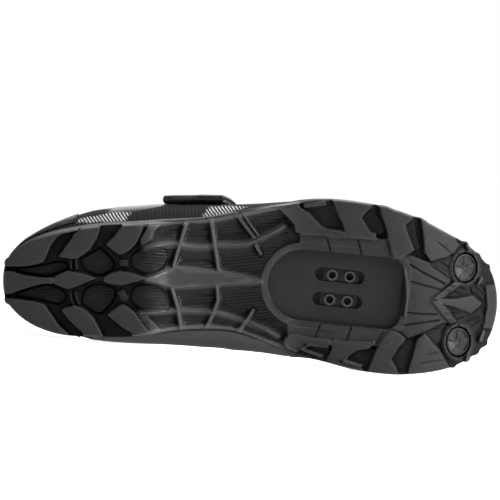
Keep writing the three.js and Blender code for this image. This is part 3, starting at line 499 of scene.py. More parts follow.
LUGS = {
    "heel rear lateral": "1.2,-14 4,-14 6,-15.5 7.8,-17.8 8.4,-22 9.3,-32 10.5,-40 11.8,-43.5 15,-47 15,-60 "
                         "-3,-60 -3,-14",
    "heel mid lateral": "11.2,-23 12.5,-22.2 13.5,-21 14.8,-21.3 16,-25 17.4,-30 18,-34 18.8,-40 19.2,-46 "
                        "19.4,-60 16,-60 15.6,-47 14.3,-44 14,-40 12.6,-32",
    "heel front lateral": "20.7,-34 21.8,-30 23.5,-24.5 24.8,-27.5 26.3,-33 27,-38 27.8,-46 28,-49 "
                          "28,-60 24,-60 "
                          "24,-50 23.2,-46 22.5,-41",
    "heel wedge": "-3,-9 1.5,-9 4,-6 6,-4.5 8,-3.2 10,-3.8 10,1.5 8.5,1.5 7,2.5 5,5 3,8 1.2,11 -3,11",
    "heel diamond": "10.2,-4 11.5,-7 13,-9.7 15,-7.8 17,-5.5 18.6,-3 17,-0.5 15,3.5 13,6.5 11.5,4 10.2,1.5",
    "heel front diamond": "20.3,-4 21.5,-7 23.5,-9.5 25,-8 27,-5.8 28.8,-3.2 27,-0.5 25,1.8 23.5,3 "
                          "21.8,2 20.3,0",
    "heel rear medial": "-3,16 1.5,16 4,17 6,18.5 7.5,20 8.3,22 9.5,30 11,40 12.5,46 13,47.5 13,60 -3,60",
    "heel mid medial": "11.7,26 12.8,24 14.3,22.2 15.5,24 16.8,27.5 17.8,32 18.6,38 19.3,44 19.8,48 "
                       "20,60 17,60 "
                       "16,46 15,42 13.5,36",
    "heel front medial": "21,30.5 22,27 23.5,22 24,21.5 25,24 26.5,29 27.5,36 28.5,42 30,48 30,60 26.5,60 "
                         "26,46.5 24.5,43 22.8,37",
    "ball lateral 1": "55.5,-60 55.5,-45.5 58.8,-34 59,-29.5 60.3,-28 68.8,-25.3 68.8,-28.5 64.5,-30.5 "
                      "61.5,-39.5 59.5,-44 59.3,-60",
    "ball lateral 2": "66.5,-60 74.2,-60 74,-43 72,-37 73.8,-28.5 75,-27 75,-24 68.8,-25.5 68.8,-31 66.5,-46",
    "ball lateral 3": "75.8,-60 83,-60 82.5,-37 80.8,-32 82.8,-18 81.5,-16 80,-13.5 78.3,-13.2 77.8,-22 "
                      "77.6,-28 75.8,-43.5",
    "ball lateral 4": "84.3,-60 91.5,-60 91,-24.5 92,-20 91,-16.5 90.5,-15.5 89.5,-14 87.5,-13 86.3,-11.5 "
                      "85,-17 84.9,-25 84.3,-36",
    "ball medial 1": "57.6,32 66,34 66.3,36 65,36.7 63,36 61.8,37 60.3,39.5 59,41.5 57,40 56.6,37 57.2,34",
    "ball medial 2": "66.4,38.5 65.3,44.8 65.3,60 72.6,60 72.3,50 69,44.5 70,41.5 71.5,39 73.5,38.5 74.8,35 "
                     "66.3,34",
    "ball medial 3": "75.1,40 73.7,50.3 73.7,60 79.7,60 79.5,53 79,50 78,45 79.5,38 81,33.5 80,30 78,27.5",
    "ball medial 4": "83.3,36 81.8,51 81.6,60 90,60 89.8,49 89,45 87.8,39.5 87,37 85,30 83.5,34",
    "toe ridge lateral": "86.5,10.5 91.2,1 92.5,2 88,10.5",
    "toe ridge medial": "86.5,11.5 90.2,24.5 91.5,24 88,11.5",
    "toe leaf": "87.5,10.3 90.8,11 95,9.5 96.8,14 94.5,19 91,15 87.5,12.5",
    "toe bumper": "97.8,4 102,4 102,28 97.2,28 98.2,16",
}

# Lower flats: their height is a share of the tread's depth
FLATS = {
    "lateral rail": (0.78, "59.8,-29 59.8,-18.5 66,-16.5 70,-15 77,-13 79.5,-12.5 78.6,-24 70,-25.5"),
    "medial rail": (0.78, "57.3,22.5 57.3,33 66,35 75,37 78,36.5 79.5,26 77,26 72,24.5 66,23.5 60,23"),
    "ball band": (0.74, "78.5,-14 80,-5 80,18 78.5,27.5 81,33 84.5,29.8 88,25 89.8,24 87,12 86.6,10.5 87,9 "
                        "90.4,0.5 89.6,-3.5 86,-10.5 82,-15"),
    "web": (0.98, "28.5,-2.8 31,-6 33,-9.5 34.5,-11.5 38.5,-9.5 43.5,-7 48,-3.5 52.2,-0.5 52.2,1.2 48,2 "
                  "44,3.2 "
                  "42.5,4.6 38,5.6 34.5,6.4 33,5 31,2 28.5,-1"),
    "web root": (0.6, "18,-4 20.8,-4.4 20.8,-0.6 18,-1"),
    "rim lateral": (0.62, "27,-50 32.3,-52 38,-50.5 42,-46 46,-45.5 50,-44 55.6,-44 55.6,-60 27,-60"),
    "rim medial": (0.5, "29.5,46 34,41.5 40,36.5 46,34 52,36.5 57.5,39 57.5,60 29.5,60"),
    "pocket lateral 1": (0.42, "59.4,-44 61.6,-39 64.6,-30 68.9,-28 68.4,-33 65.6,-47 59.4,-47"),
    "pocket lateral 2": (0.4, "71,-41 72,-37 73.8,-28 75.2,-26 77,-29 76,-35 74.8,-40.5 74.5,-46 71,-46"),
    "pocket lateral 3": (0.4, "80,-36 81,-30 83,-17.5 84,-20 83.3,-25 82.8,-35 83,-42 80,-42"),
    "pocket medial 1": (0.4, "57,39.5 59,41 61.8,37 65.3,36.6 66.5,38.5 65,45 65,60 57,60"),
    "pocket medial 2": (0.4, "70,41.5 71.5,39 74.4,38.3 75,40 73.4,50 73,60 70,60 69,44.5"),
    "pocket medial 3": (0.4, "78,45 79.5,38 81.6,33 83,36 81.5,50 81,60 79,60"),
}

# Flats whose flanks are hollow: reach in millimetres and power
HOLLOW = {"web": (5.0, 2.0), "rim lateral": (5.0, 2.0), "rim medial": (4.0, 2.0)}

# Ribs by their line, width at both ends in millimetres, and height as a share of the depth
RIBS = [
    ("37,-56 36.6,-46 36,-38 35,-24 34.2,-11.5", 2.0, 1.5, 1.0),
    ("33.9,6 35,22 35.6,36 35.9,47", 1.5, 2.0, 1.0),
    ("41.6,-54 42.2,-40 42.5,-30 43,-18 43.4,-7", 2.0, 1.5, 1.0),
    ("43,3.5 43.3,15 42.3,26 40.6,41", 1.4, 2.0, 1.0),
    ("46.7,-50 48.8,-38 50.8,-28", 2.0, 1.4, 0.95),
    ("48,-49 49.8,-38 51.6,-29", 1.2, 1.0, 0.8),
    ("50.8,-24.5 51.3,-21 52,-17", 1.6, 1.2, 0.9),
    ("50.5,19 49.5,25 47.3,37", 1.4, 2.2, 0.95),
    ("50.2,28.2 52.8,31 55.5,34.2", 1.0, 1.4, 0.8),
    ("60.6,-44 65,-45", 2.2, 2.2, 0.8),
    ("61.3,36.8 65.6,37.5", 1.3, 1.3, 0.85),
    ("60.1,39.6 64.4,43.1", 1.5, 1.5, 0.85),
    ("68.6,45.4 72.3,48.6", 1.6, 1.6, 0.85),
    ("80.9,-8 81.4,0 81.5,10 81,20", 1.3, 1.3, 0.95),
    ("96.2,3 97,-1", 1.2, 1.2, 1.1),
    ("97.4,30 96.6,36", 1.4, 1.4, 1.1),
    ("94.6,-17 93.8,-20.4", 1.6, 1.6, 1.1),
    ("94.2,43.4 93.6,49", 1.6, 1.6, 1.1),
]

# Soft crests: line, width, height as a share of the depth, and reach of their flanks in millimetres
# with its power
CRESTS = [
    ("28.4,-30.5 31.6,-32.4 34.6,-32.6 36.8,-29.6 39,-27.6 41.6,-26.8 43.4,-27.6 46,-26.2 49.2,-25.2 "
     "51.5,-27.2 "
     "54,-30 56.6,-33.4", 1.1, 0.95, 6.0, 2.0),
    ("27.4,29.4 31.2,28.2 34.8,27 36.8,26.4 38.6,26 41.6,25.4 43.2,25.2 45,26 48.4,28 52.8,31 55.5,34.2", 1.1,
     0.95, 5.0, 2.0),
    ("13.5,-20 13.6,-11", 0.9, 0.55, 0.8, 1), ("14.6,-20 14.7,-11", 0.9, 0.55, 0.8, 1),
    ("13.4,9.5 13.6,16 14.1,21.5", 0.9, 0.5, 0.8, 1), ("14.4,9 14.7,15 15.2,21", 0.9, 0.5, 0.8, 1),
    ("23.4,-17 24.9,-17", 3.4, 0.6, 0.8, 1), ("23.5,8.5 24,13 24.5,17.5", 3.6, 0.6, 0.8, 1),
]

# Grooves cut into what stands there: line, width and depth in millimetres
GROOVES = [
    ("65.3,-24.5 66,-17", 0.9, 0.9), ("71.5,-24 72.2,-15.5", 0.9, 0.9), ("77.6,-23 78.4,-14", 0.9, 0.9),
    ("63.9,24.5 62.9,32", 0.9, 0.9), ("70.2,26 69.2,33.6", 0.9, 0.9), ("76.6,28.5 75.2,36", 0.9, 0.9),
    ("81.8,-10 85,-4.4 89.3,2", 0.9, 1.0), ("82.2,0 85,2.4 88.6,5.4", 0.8, 0.9),
    ("81.3,17.8 84.4,18.8 87.6,19.2", 0.8, 0.9), ("80.5,25.2 84,24 88.2,22.6", 0.9, 1.0),
    ("86.2,-9.4 88,-6 90,-1.2", 0.9, 0.9), ("87.6,-22.6 89,-19 90.9,-15", 0.8, 0.7),
    ("85.4,42.3 88.8,40.2", 0.8, 0.7), ("84,47.2 89.2,45.6", 0.8, 0.7),
    ("78,27.6 80,29.2 81.6,33", 0.7, 0.6),
]
# Short grooves of the toe facets, in percent along and millimetres across
CUTS = ["90,2.6 93.5,5.2", "89.4,5.6 92.4,7.4", "89,18.5 92.3,18.8", "89.8,22.6 93,21.5", "95.2,3.6 97.4,8.6",
        "96,1 97.8,7", "95.2,6.8 97,12", "94.4,23.5 96.5,21.3", "94.6,27 96.6,23", "96,28.5 97.2,26.4",
        "88,-11 90,-7.5", "97.4,16.5 97.5,26"]

# Pits of the heel, with fine ribs: outline and depth in millimetres below the groove floor
PITS = [
    ("2,-12.6 5,-12.4 8,-14.6 10.8,-18 12.6,-17 13.2,-12 11,-8 9,-5.4 6,-6.6 3.6,-8.4", 1.2),
    ("2,13 3.6,9.6 5.6,6.8 7.4,4.2 9,3.4 11,6.4 12.4,10 12.6,16 11.4,21 9.4,19.6 7,16.2 4,14.6", 1.2),
    ("15.4,-20 16.2,-11 18.4,-6.2 20,-6 22,-11 22.4,-17 20.8,-25 19.4,-31 18.6,-28", 1.3),
    ("15.6,20 16.4,7.6 18.4,2.8 20,3.4 22.2,5.8 22.6,14 21.6,21 20,29 18.8,29.6", 1.3),
    ("25.6,-22 26,-12 28,-7.6 30,-6.6 32.2,-12 33.4,-22 32.6,-30 30,-31 28.2,-31 26.8,-27", 0.9),
    ("25.6,18 26,6.4 28,3 30,3.4 31.6,6 33.2,14 33.6,24 32.6,30 30.6,29 28.4,27 26.6,22", 0.9),
]


# Facets of toe and waist, in percent along and millimetres across, with their share of the depth
FACETS = [
    (0.5, "86.2,-10.3 88.8,-13.8 90.5,-13 90.2,-8 90.4,-2 88.6,-0.5 86.2,-8.5"),
    (0.5, "85,28.6 88.3,27.3 88.2,33 87.4,35.8 86.6,35"),
    (0.45, "94.6,4.5 96.6,0 98,3.5 97.3,9 97,12.6 95.4,9.2"),
    (0.45, "94,24 96.2,20 97.4,22 97.3,27 95.2,30 94.3,28"),
    (0.4, "87.4,9.5 91.3,2 94.2,4.6 94.3,8.4 91,9.6"),
    (0.4, "87.6,12.4 90,24.6 93.4,23.6 93.7,19.6 91,15.4"),
    (0.75, "27.8,-20.6 30,-23.6 30.3,-28 32.2,-33.2 29.4,-33.6 28.8,-29 27.6,-24"),
    (0.7, "26.8,17 28.8,19.6 30.8,25 32.6,30 30.2,30.6 28.6,25.5 26.6,20"),
]
# Small nubs on the rim of toe and heel: place, reach along the rim and height, in millimetres
NUBS = [(262, -20.5, 1.8, 1.1), (269, -13.5, 1.6, 0.8), (275.5, -7.5, 1.9, 1.4), (273.5, 37, 1.9, 1.3),
        (268, 41.5, 1.8, 0.9), (262.5, 45, 1.9, 1.3), (255, 49.5, 1.9, 1.3),
        (2, -10.5, 1.9, 1.1), (2, 11, 1.9, 1.1),
        (216, -43.3, 3.6, 0.7), (237, -36, 3.4, 0.9), (189, -49, 3.2, 0.4)]


def nub_at(points):
    push = np.zeros(len(points))
    for x, y, reach, height in NUBS:
        push += height * np.exp(-(np.linalg.norm(points[:, :2] - (x, y), axis=1) / reach) ** 4)
    return push


class Tread:
    """Heights of the tread over the plan, from its lugs, flats, ribs, grooves and pits."""

    def __init__(self):
        raised = []
        for text in LUGS.values():
            outline = wound(plan(text))
            draft = 0.9 if outline[:, 0].mean() < 0.4 * LENGTH else 1.5
            raised.append((rounded(outline, most=0.5), 1.0, 0.5, draft, 1))
        for name, (share, text) in FLATS.items():
            reach, power = HOLLOW.get(name, (0.6, 1))
            raised.append((rounded(wound(plan(text)), most=0.8), share, 0.35, reach, power))
        raised += [(rounded(wound(plan_mm(text)), most=0.5), share, 0.3, 0.8, 1) for share, text in FACETS]
        self.ribs = [rounded(wound(stroke(plan(text), start, end)), most=0.4) for text, start, end, _ in RIBS]
        raised += [(line, share, 0.4, 1.4, 1.5) for line, (_, _, _, share) in zip(self.ribs, RIBS)]
        raised += [(rounded(wound(stroke(plan(text), width)), most=0.6), share, 0.45, reach, power)
                   for text, width, share, reach, power in CRESTS]
        raised.append((wound(window_outline(4.0)), 0.8, 0.3, 0.6, 1))
        self.raised = raised
        self.cuts = [(rounded(wound(stroke(plan(text), width))), depth, 0.15, 0.25)
                     for text, width, depth in GROOVES]
        self.cuts += [(rounded(wound(stroke(plan_mm(text), 0.7))), 0.7, 0.15, 0.2) for text in CUTS]
        self.pits = [rounded(wound(plan(text)), most=1.2) for text, _ in PITS]
        self.cuts += [(outline, depth, 0.5, 0.7) for outline, (_, depth) in zip(self.pits, PITS)]
        place = np.arange(0, 2 * LAST, 0.125)
        self.place = place
        line = edge_curve.at(*sides_of(place))
        self.edge = wound((line + outward_at(*sides_of(place)) * nub_at(line)[:, None])[:, :2])
        self.window = wound(window_outline(0))
        self.studs = {name: stud_ring(name, STUD_RADIUS + GAP) for name in STUDS}
        self.collars = {name: stud_ring(name, STUD_RADIUS + GAP + STUD_COLLAR / 2) for name in STUDS}
        for name in STUDS:
            placed, _ = stud_frame(name)
            for k in range(10):
                angle = math.radians(36 * k + 18)
                line = [placed @ Vector((r * math.cos(angle), r * math.sin(angle), 0)) for r in (8.4, 9.7)]
                self.cuts.append((wound(stroke([p[:2] for p in line], 1.3)), 0.9, 0.15, 0.3))

    def rings(self):
        """Closed lines that the mesh has to follow."""
        for outline, _, radius, draft, power in self.raised:
            for out in (-radius, -0.45 * radius, -0.12 * radius, 0, draft):
                yield moved_out(outline, out)
            if power > 1:
                yield moved_out(outline, draft * 0.12)
                yield moved_out(outline, draft * 0.35)
        for outline, _, inner, outer in self.cuts:
            yield moved_out(outline, -inner)
            yield moved_out(outline, outer)
        for outline in self.pits:
            for out in (-0.9, -0.25, 0.2, 1.1):
                yield moved_out(outline, out)
        for out in (0, -0.1, -0.35, -0.8, -1.5, -2.4):
            yield moved_out(self.edge, out) if out else self.edge
        for out in (0, 0.07, 0.27, 0.6):
            yield moved_out(self.window, out) if out else self.window
        for name in STUDS:
            for out in (0, 0.1, 0.4):
                yield moved_out(self.studs[name], out) if out else self.studs[name]
            for out in (-0.3, 0, 1.5, 3):
                yield moved_out(self.collars[name], out)

    def heights(self, points):
        """Height, wear and painted highlight, relative depth and painted shade at plan points."""
        x = points[:, 0]
        depth = depth_at(x)
        floor = tread_at(x) + depth
        rise = np.zeros(len(points))
        wear_and_highlight = np.zeros(len(points))
        near = np.full(len(points), 9.0)
        for outline, share, radius, draft, power in self.raised:
            away = distance_to(points, outline, max(2.5, draft + 0.5))
            top = share * depth
            r = np.minimum(radius, top * 0.6)
            inner = top - lip(-away, r)
            outer = (top - r) * np.clip(1 - away / draft, 0, 1) ** power
            if share > 0.9 and power == 1:
                near = np.where(away > 0, np.minimum(near, away / draft), near)
            here = np.where(away <= 0, inner, np.where(away < draft, outer, 0))
            rise = np.maximum(rise, here)
            # Lighter rims of lugs and flats and lighter tops of crests and ribs: wear and painted highlight.
            if power == 1:
                wear_and_highlight = np.maximum(wear_and_highlight, np.where((away > -0.5 * radius) & (away <= 0.02), share, 0))
            else:
                wear_and_highlight = np.maximum(wear_and_highlight, share * smooth((0.45 * draft - away) / (0.45 * draft)) *
                                  smooth((away + 1.4) / 0.8))
        for name in STUDS:
            placed, slope = stud_frame(name)
            plane = placed.translation.z + slope * (x - placed.translation.x)
            away = distance_to(points, self.collars[name])
            top = floor - plane
            flank = (top - 0.3) * np.clip(1 - away / 3, 0, 1)
            here = np.where(away <= 0, top - lip(-away, 0.3), np.where(away < 3, flank, -9))
            inside = away < 0
            rise = np.where((away >= 0) & (away < 3), np.maximum(rise, here), rise)
            rise = np.where(inside, np.maximum(rise * (away > 0), here), rise)
            rise = np.where(inside, np.minimum(rise, np.where(away <= 0, top, 9)), rise)
            hole = distance_to(points, self.studs[name])
            rise = rise - np.where(hole > 0, lip(hole, 0.4), 0.4) * (hole < 0.4)
        for outline, deep, inner, outer in self.cuts:
            away = distance_to(points, outline)
            rise = rise - deep * smooth((outer - away) / (outer + inner))
        inside = -distance_to(points, self.edge)
        along = x / LENGTH
        round_edge = 0.8 + 1.6 * smooth((along - 0.26) / 0.06) * smooth((0.6 - along) / 0.06)
        rise = np.minimum(rise, depth - lip(inside, round_edge))
        # Painted highlight along the sole's rounded edge, strongest from the heel to the waist.
        back = smooth((along - 0.07) / 0.03) * smooth((0.57 - along) / 0.03)
        edge_highlight = smooth((round_edge * 1.1 - inside) / 0.6) * (0.8 + 1.6 * back)
        wear_and_highlight = np.maximum(wear_and_highlight, edge_highlight * smooth((rise / depth - 0.25) / 0.2))
        out = distance_to(points, self.window)
        rise = rise - np.where(out < 0.6, lip(out, 0.6), 0)
        low = np.clip(1 - rise / depth, 0, 1.5)
        # Painted shade: groove floors darker than the lugs' faces, set by region from heel to toe.
        floor_shade = np.interp(along, [0.0, 0.27, 0.31, 0.54, 0.58, 0.84, 0.87, 1.0],
                               [0.32, 0.32, 0.4, 0.4, 0.42, 0.42, 0.46, 0.46])
        painted_shade = 1 + (floor_shade - 1) * smooth((low - 0.12) / 0.5)
        # Painted shade on the groove floor beside the lugs' walls, deeper at the heel.
        wall_shade = smooth((1.25 - near) / 0.3) * smooth((near - 0.05) / 0.2) * smooth((low - 0.1) / 0.2)
        painted_shade = painted_shade * (1 - wall_shade * np.interp(along, [0.27, 0.31], [0.75, 0.45]))
        # Painted shadow on the heel side of each rib.
        for line in self.ribs:
            behind = [distance_to(points + np.array([step, 0]), line) for step in (0.9, 1.8, 2.6)]
            shaded = smooth((0.4 - np.min(behind, axis=0)) / 0.6) * smooth(distance_to(points, line) / 0.3)
            painted_shade = painted_shade * (1 - 0.8 * shaded)
        # Pits: a painted shade of 0.5 inside, and a darker painted outline round the heel's pits.
        for outline in self.pits:
            away = distance_to(points, outline)
            inner = smooth((-away - 0.3) / 0.6)
            rim = (1 - inner) * smooth((1.1 - away) / 0.5) * smooth((0.31 - along) / 0.04)
            painted_shade = (painted_shade * (1 - inner) + 0.5 * inner) * (1 - 0.78 * rim)
        # Painted shade in the gap round each stud seat.
        for name in STUDS:
            painted_shade = np.where(distance_to(points, self.studs[name]) < 0.3, 0.05, painted_shade)
        return floor - rise, wear_and_highlight, low, painted_shade


# Meshes
def boundary_loops(faces):
    """Open edges of a mesh as closed runs, against the way of its faces."""
    edges = set()
    for face in faces:
        edges.update(zip(face, face[1:] + face[:1]))
    onward = {b: a for a, b in edges if (b, a) not in edges}
    loops = []
    while onward:
        start, following = onward.popitem()
        loop = [start]
        while following != start:
            loop.append(following)
            following = onward.pop(following)
        loops.append(loop)
    return loops


def ribbon(first, second):
    """Quads between two runs of the same length, closed."""
    count = len(first)
    return [(first[k], first[(k + 1) % count], second[(k + 1) % count], second[k]) for k in range(count)]


def grid_faces(columns, rows, wrap=False, start=0):
    """Quads of a grid whose points run along its columns first."""
    faces = []
    for j in range(rows - 1):
        for k in range(columns if wrap else columns - 1):
            a = start + j * columns + k
            b = start + j * columns + (k + 1) % columns
            faces.append((a, b, b + columns, a + columns))
    return faces


def make_piece(name, points, faces, finish, stands_for=(), body="shoe", masks=None, uv=None, sharp=40,
               in_world=False):
    """A finished object from points in the shoe's frame, in millimetres."""
    mesh = bpy.data.meshes.new(name)
    placed = np.asarray(points) if in_world else to_world(points)
    mesh.from_pydata(placed, [], [tuple(map(int, f)) for f in faces])
    for key, values in (masks or {}).items():
        mesh.attributes.new(key, "FLOAT", "POINT").data.foreach_set("value", np.asarray(values, np.float32))
    if uv is not None:
        corner = np.empty(len(mesh.loops), np.int32)
        mesh.loops.foreach_get("vertex_index", corner)
        layer = mesh.uv_layers.new(name="UVMap")
        layer.data.foreach_set("uv", np.asarray(uv, np.float32)[corner].ravel())
    work = bmesh.new()
    work.from_mesh(mesh)
    bmesh.ops.remove_doubles(work, verts=work.verts, dist=2e-6)
    bmesh.ops.recalc_face_normals(work, faces=work.faces)
    work.to_mesh(mesh)
    work.free()
    mesh.shade_smooth()
    mesh.set_sharp_from_angle(angle=math.radians(sharp))
    obj = bpy.data.objects.new(name, mesh)
    bpy.context.scene.collection.objects.link(obj)
    mesh.materials.append(finish)
    settle(obj, stands_for, body)
    return obj


def settle(obj, stands_for=(), body="shoe"):
    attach(obj, body)
    if stands_for:
        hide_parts(*stands_for)


def stud_cap(name):
    """Plug of a stud seat: a round face with five slanted blades and a dimple."""
    frame_, _ = stud_frame(name)
    radii = [0.0, 1.3, 1.7, 2.0, 2.3, 2.7, 3.1, 3.5, 4.5, 5.6, 6.6, 7.0, 7.3, 7.5, 7.7, 7.8]
    steps = 120
    angle = np.linspace(0, 2 * math.pi, steps, endpoint=False)
    points, faces, painted_shade = [], [], []
    for r in radii[1:]:
        turn = np.mod(angle * 5 / (2 * math.pi) + 0.02 * r, 1)
        blade = np.minimum(turn, (1 - turn) * 6) * smooth((r - 0.9) / 1.4) * smooth((7.6 - r) / 0.9)
        height = 1.1 * (blade - 0.9) * (r < 7.0) - 0.5 * max(0, (r - 7.2) / 0.6) ** 2 - 0.35 * (r < 6.8)
        points += [(r * math.cos(a), r * math.sin(a), float(h)) for a, h in zip(angle, height)]
        # Painted shade: each blade is darkest where its gentle slope starts and lightest on its steep face;
        # the foot wall is darker still. The plug's finish does not read this mask.
        painted_shade += list(0.7 + 0.3 * turn)
    rings = len(radii) - 1
    faces += grid_faces(steps, rings, wrap=True)
    foot = len(points)
    points += [(7.8 * math.cos(a), 7.8 * math.sin(a), -STUD_THICKNESS) for a in angle]
    painted_shade += [0.3] * steps
    faces += ribbon(list(range(foot - steps, foot)), list(range(foot, foot + steps)))
    faces.append(tuple(range(steps)))
    faces.append(tuple(range(foot + steps - 1, foot - 1, -1)))
    return np.array([frame_ @ Vector(p) for p in points]), faces, {"painted_shade": np.array(painted_shade)}


def place_of(points, tread):
    """Place on the loop curves of points on the tread's edge."""
    line = edge_curve.at(-1, tread.place)[:, :2]
    ahead = np.roll(line, -1, axis=0) - line
    p = points[:, None] - line[None]
    t = np.clip(np.sum(p * ahead, axis=2) / np.sum(ahead * ahead, axis=1), 0, 1)
    away = np.linalg.norm(p - t[..., None] * ahead, axis=2)
    nearest = away.argmin(axis=1)
    step = tread.place[1] - tread.place[0]
    return tread.place[nearest] + step * t[np.arange(len(points)), nearest]


def outsole_mesh():
    tread = Tread()
    coordinates, edges = [], []
    for ring in tread.rings():
        first = len(coordinates)
        coordinates.extend(map(tuple, ring))
        edges.extend((first + k, first + (k + 1) % len(ring)) for k in range(len(ring)))
    spacing = 2.2
    xs = np.arange(-2, LENGTH + 3, spacing)
    ys = np.arange(-52, 58, spacing)
    gx, gy = np.meshgrid(xs, ys)
    gx = gx + (np.arange(len(ys))[:, None] % 2) * spacing / 2
    coordinates.extend(zip(gx.ravel() + 0.013, gy.ravel() + 0.007))
    result = delaunay_2d_cdt([Vector(c) for c in coordinates], edges, [], 0, 1e-4)
    points = np.array([tuple(v) for v in result[0]])
    faces = [tuple(f) for f in result[2]]
    centre = np.array([points[list(f)].mean(axis=0) for f in faces])
    keep = (distance_to(centre, tread.edge) < 0) & (distance_to(centre, tread.window) > 0)
    for ring in tread.studs.values():
        keep &= distance_to(centre, ring) > 0
    faces = [f[::-1] for f, kept in zip(faces, keep) if kept]
    used = np.unique(np.array(faces))
    renumber = np.full(len(points), -1)
    renumber[used] = np.arange(len(used))
    points = points[used]
    faces = [tuple(int(renumber[v]) for v in f) for f in faces]
    z, wear_and_highlight, low, painted_shade = tread.heights(points)
    body = np.column_stack([points, z])
    masks = {"wear_and_highlight": wear_and_highlight, "painted_shade": painted_shade}
    pit = np.zeros(len(points))
    for outline in tread.pits:
        pit = np.maximum(pit, smooth((-distance_to(points, outline) - 0.3) / 0.6))
    along = points[:, 0] / LENGTH
    pocket = smooth((along - 0.58) / 0.02) * smooth((0.87 - along) / 0.02)
    waist = smooth((along - 0.3) / 0.02) * (1 - pocket) * (along < 0.58)
    floors = smooth((low - 0.3) / 0.2) * (low < 1.2)
    masks["ribs"] = np.maximum(0.8 * pit, (0.7 * pocket + 0.3 * waist) * floors)
    masks["phase"] = points[:, 1] + 2.5 * np.sin(points[:, 0] / 22)
    # Glossier waist; it also makes the painted highlight stronger there.
    masks["shine"] = smooth((along - 0.27) / 0.06) * smooth((0.62 - along) / 0.06)
    parts, wells = [body], []
    extra = len(body)

    def add(ring):
        nonlocal extra
        parts.append(np.asarray(ring))
        indices = list(range(extra, extra + len(ring)))
        extra += len(ring)
        return indices

    for loop in boundary_loops(faces):
        ring = body[loop]
        size = np.ptp(ring[:, 0])
        if size > 200:
            place = place_of(ring[:, :2], tread)
            side, section = sides_of(place)
            out = outward_at(side, section)
            foot = edge_curve.at(side, section)
            push = nub_at(foot)[:, None]
            foot = foot + out * push
            x = foot[:, 0]
            floor = tread_at(x) + depth_at(x)
            feather = feather_at(side, section)
            low_edge = vec(*(foot + out * SIDE_STEP).T[:2], floor)
            low_edge[:, 2] = np.maximum(low_edge[:, 2], ring[:, 2] + 0.02)
            middle = (low_edge + feather) / 2 + out * (SIDE_STEP + 0.25 * push)
            previous = loop
            for level in (low_edge, lerp(low_edge, middle, np.full(len(x), 0.5)) + out * 0.25, middle,
                          lerp(middle, feather, np.full(len(x), 0.6)) + out * 0.25,
                          feather + out * 0.1 - [0, 0, 0.7], feather - [0, 0, 0.15], feather - out * 0.5,
                          deck_point(side, section, 0.9), deck_point(side, section, 0.7)):
                current = add(level)
                faces.extend(ribbon(previous, current))
                previous = current
            flat = [Vector(p) for p in level]
            faces.extend(tuple(previous[v] for v in f) for f in tessellate_polygon([flat]))
        elif size > 40:
            wall = add(np.column_stack([ring[:, :2], np.full(len(ring), RECESS_HEIGHT - GAP)]))
            faces.extend(ribbon(loop, wall))
            normal = unit(np.roll(ring[:, :2], -1, axis=0) - np.roll(ring[:, :2], 1, axis=0))
            outward = np.stack([normal[:, 1], -normal[:, 0]], axis=1)
            if np.mean(np.sum(outward * (ring[:, :2] - ring[:, :2].mean(axis=0)), axis=1)) < 0:
                outward = -outward
            wide = ring[:, :2] + outward * PLATE_LEDGE
            ledge = add(np.column_stack([wide, np.full(len(ring), RECESS_HEIGHT - GAP)]))
            faces.extend(ribbon(wall, ledge))
            top = add(np.column_stack([wide, np.full(len(ring), 13.8)]))
            faces.extend(ribbon(ledge, top))
            faces.append(tuple(top))
        else:
            name = "lateral" if ring[:, 1].mean() < 20 else "medial"
            axis = np.array(stud_frame(name)[0].to_3x3() @ Vector((0, 0, 1)))
            wells.append(extra)
            deep = add(ring - axis * (STUD_THICKNESS + GAP))
            faces.extend(ribbon(loop, deep))
            faces.append(tuple(deep))
    points = np.concatenate(parts)
    # Painted shade: a slight one on the side and recess walls, a deep one in the stud wells.
    for key in masks:
        filler = 0.85 if key == "painted_shade" else 0.0
        masks[key] = np.concatenate([masks[key], np.full(len(points) - len(masks[key]), filler)])
    for start in wells:
        masks["painted_shade"][start:start + len(tread.studs["lateral"])] = 0.03
    return points, faces, masks


# Slabs: soft and thin pieces with rounded borders over a surface given by two shares
def border_steps(count, length, radius):
    """Shares from 0 to 1 with fine steps at both ends."""
    near = np.array([0, 0.04, 0.15, 0.35, 0.65, 1.0]) * radius / length
    return np.concatenate([near, np.linspace(near[-1], 1 - near[-1], count)[1:-1], 1 - near[::-1]])


def slab(point, columns, rows, low, high, radius, relief=None):
    """Closed slab between two distances above a surface; returns points, faces, uv in millimetres."""
    u = np.linspace(0, 1, 24)
    probe = point(*np.meshgrid(u, u))
    wide = np.linalg.norm(np.diff(probe, axis=1), axis=2).sum(axis=1).mean()
    tall = np.linalg.norm(np.diff(probe, axis=0), axis=2).sum(axis=0).mean()
    us, vs = border_steps(columns, wide, radius), border_steps(rows, tall, radius)
    gu, gv = np.meshgrid(us, vs)
    base = point(gu, gv)
    step = 2e-3
    du = point(np.minimum(gu + step, 1), gv) - point(np.maximum(gu - step, 0), gv)
    dv = point(gu, np.minimum(gv + step, 1)) - point(gu, np.maximum(gv - step, 0))
    normal = unit(np.cross(du, dv))
    reach = np.minimum(np.minimum(gu, 1 - gu) * wide, np.minimum(gv, 1 - gv) * tall) / radius
    full = np.sqrt(np.clip(1 - (1 - np.clip(reach, 0, 1)) ** 2, 0, 1))
    raised = 0 if relief is None else relief(gu, gv, wide, tall)
    middle, half = (low + high) / 2, (high - low) / 2 * full
    upper = base + normal * (middle + half + raised * full)[..., None]
    lower = base + normal * (middle - half)[..., None]
    count = len(us)
    faces = grid_faces(count, len(vs))
    faces += [f[::-1] for f in grid_faces(count, len(vs), start=count * len(vs))]
    uv = np.stack([gu * wide, gv * tall], axis=-1).reshape(-1, 2) / 100
    points = np.concatenate([upper.reshape(-1, 3), lower.reshape(-1, 3)])
    return points, faces, np.concatenate([uv, uv])


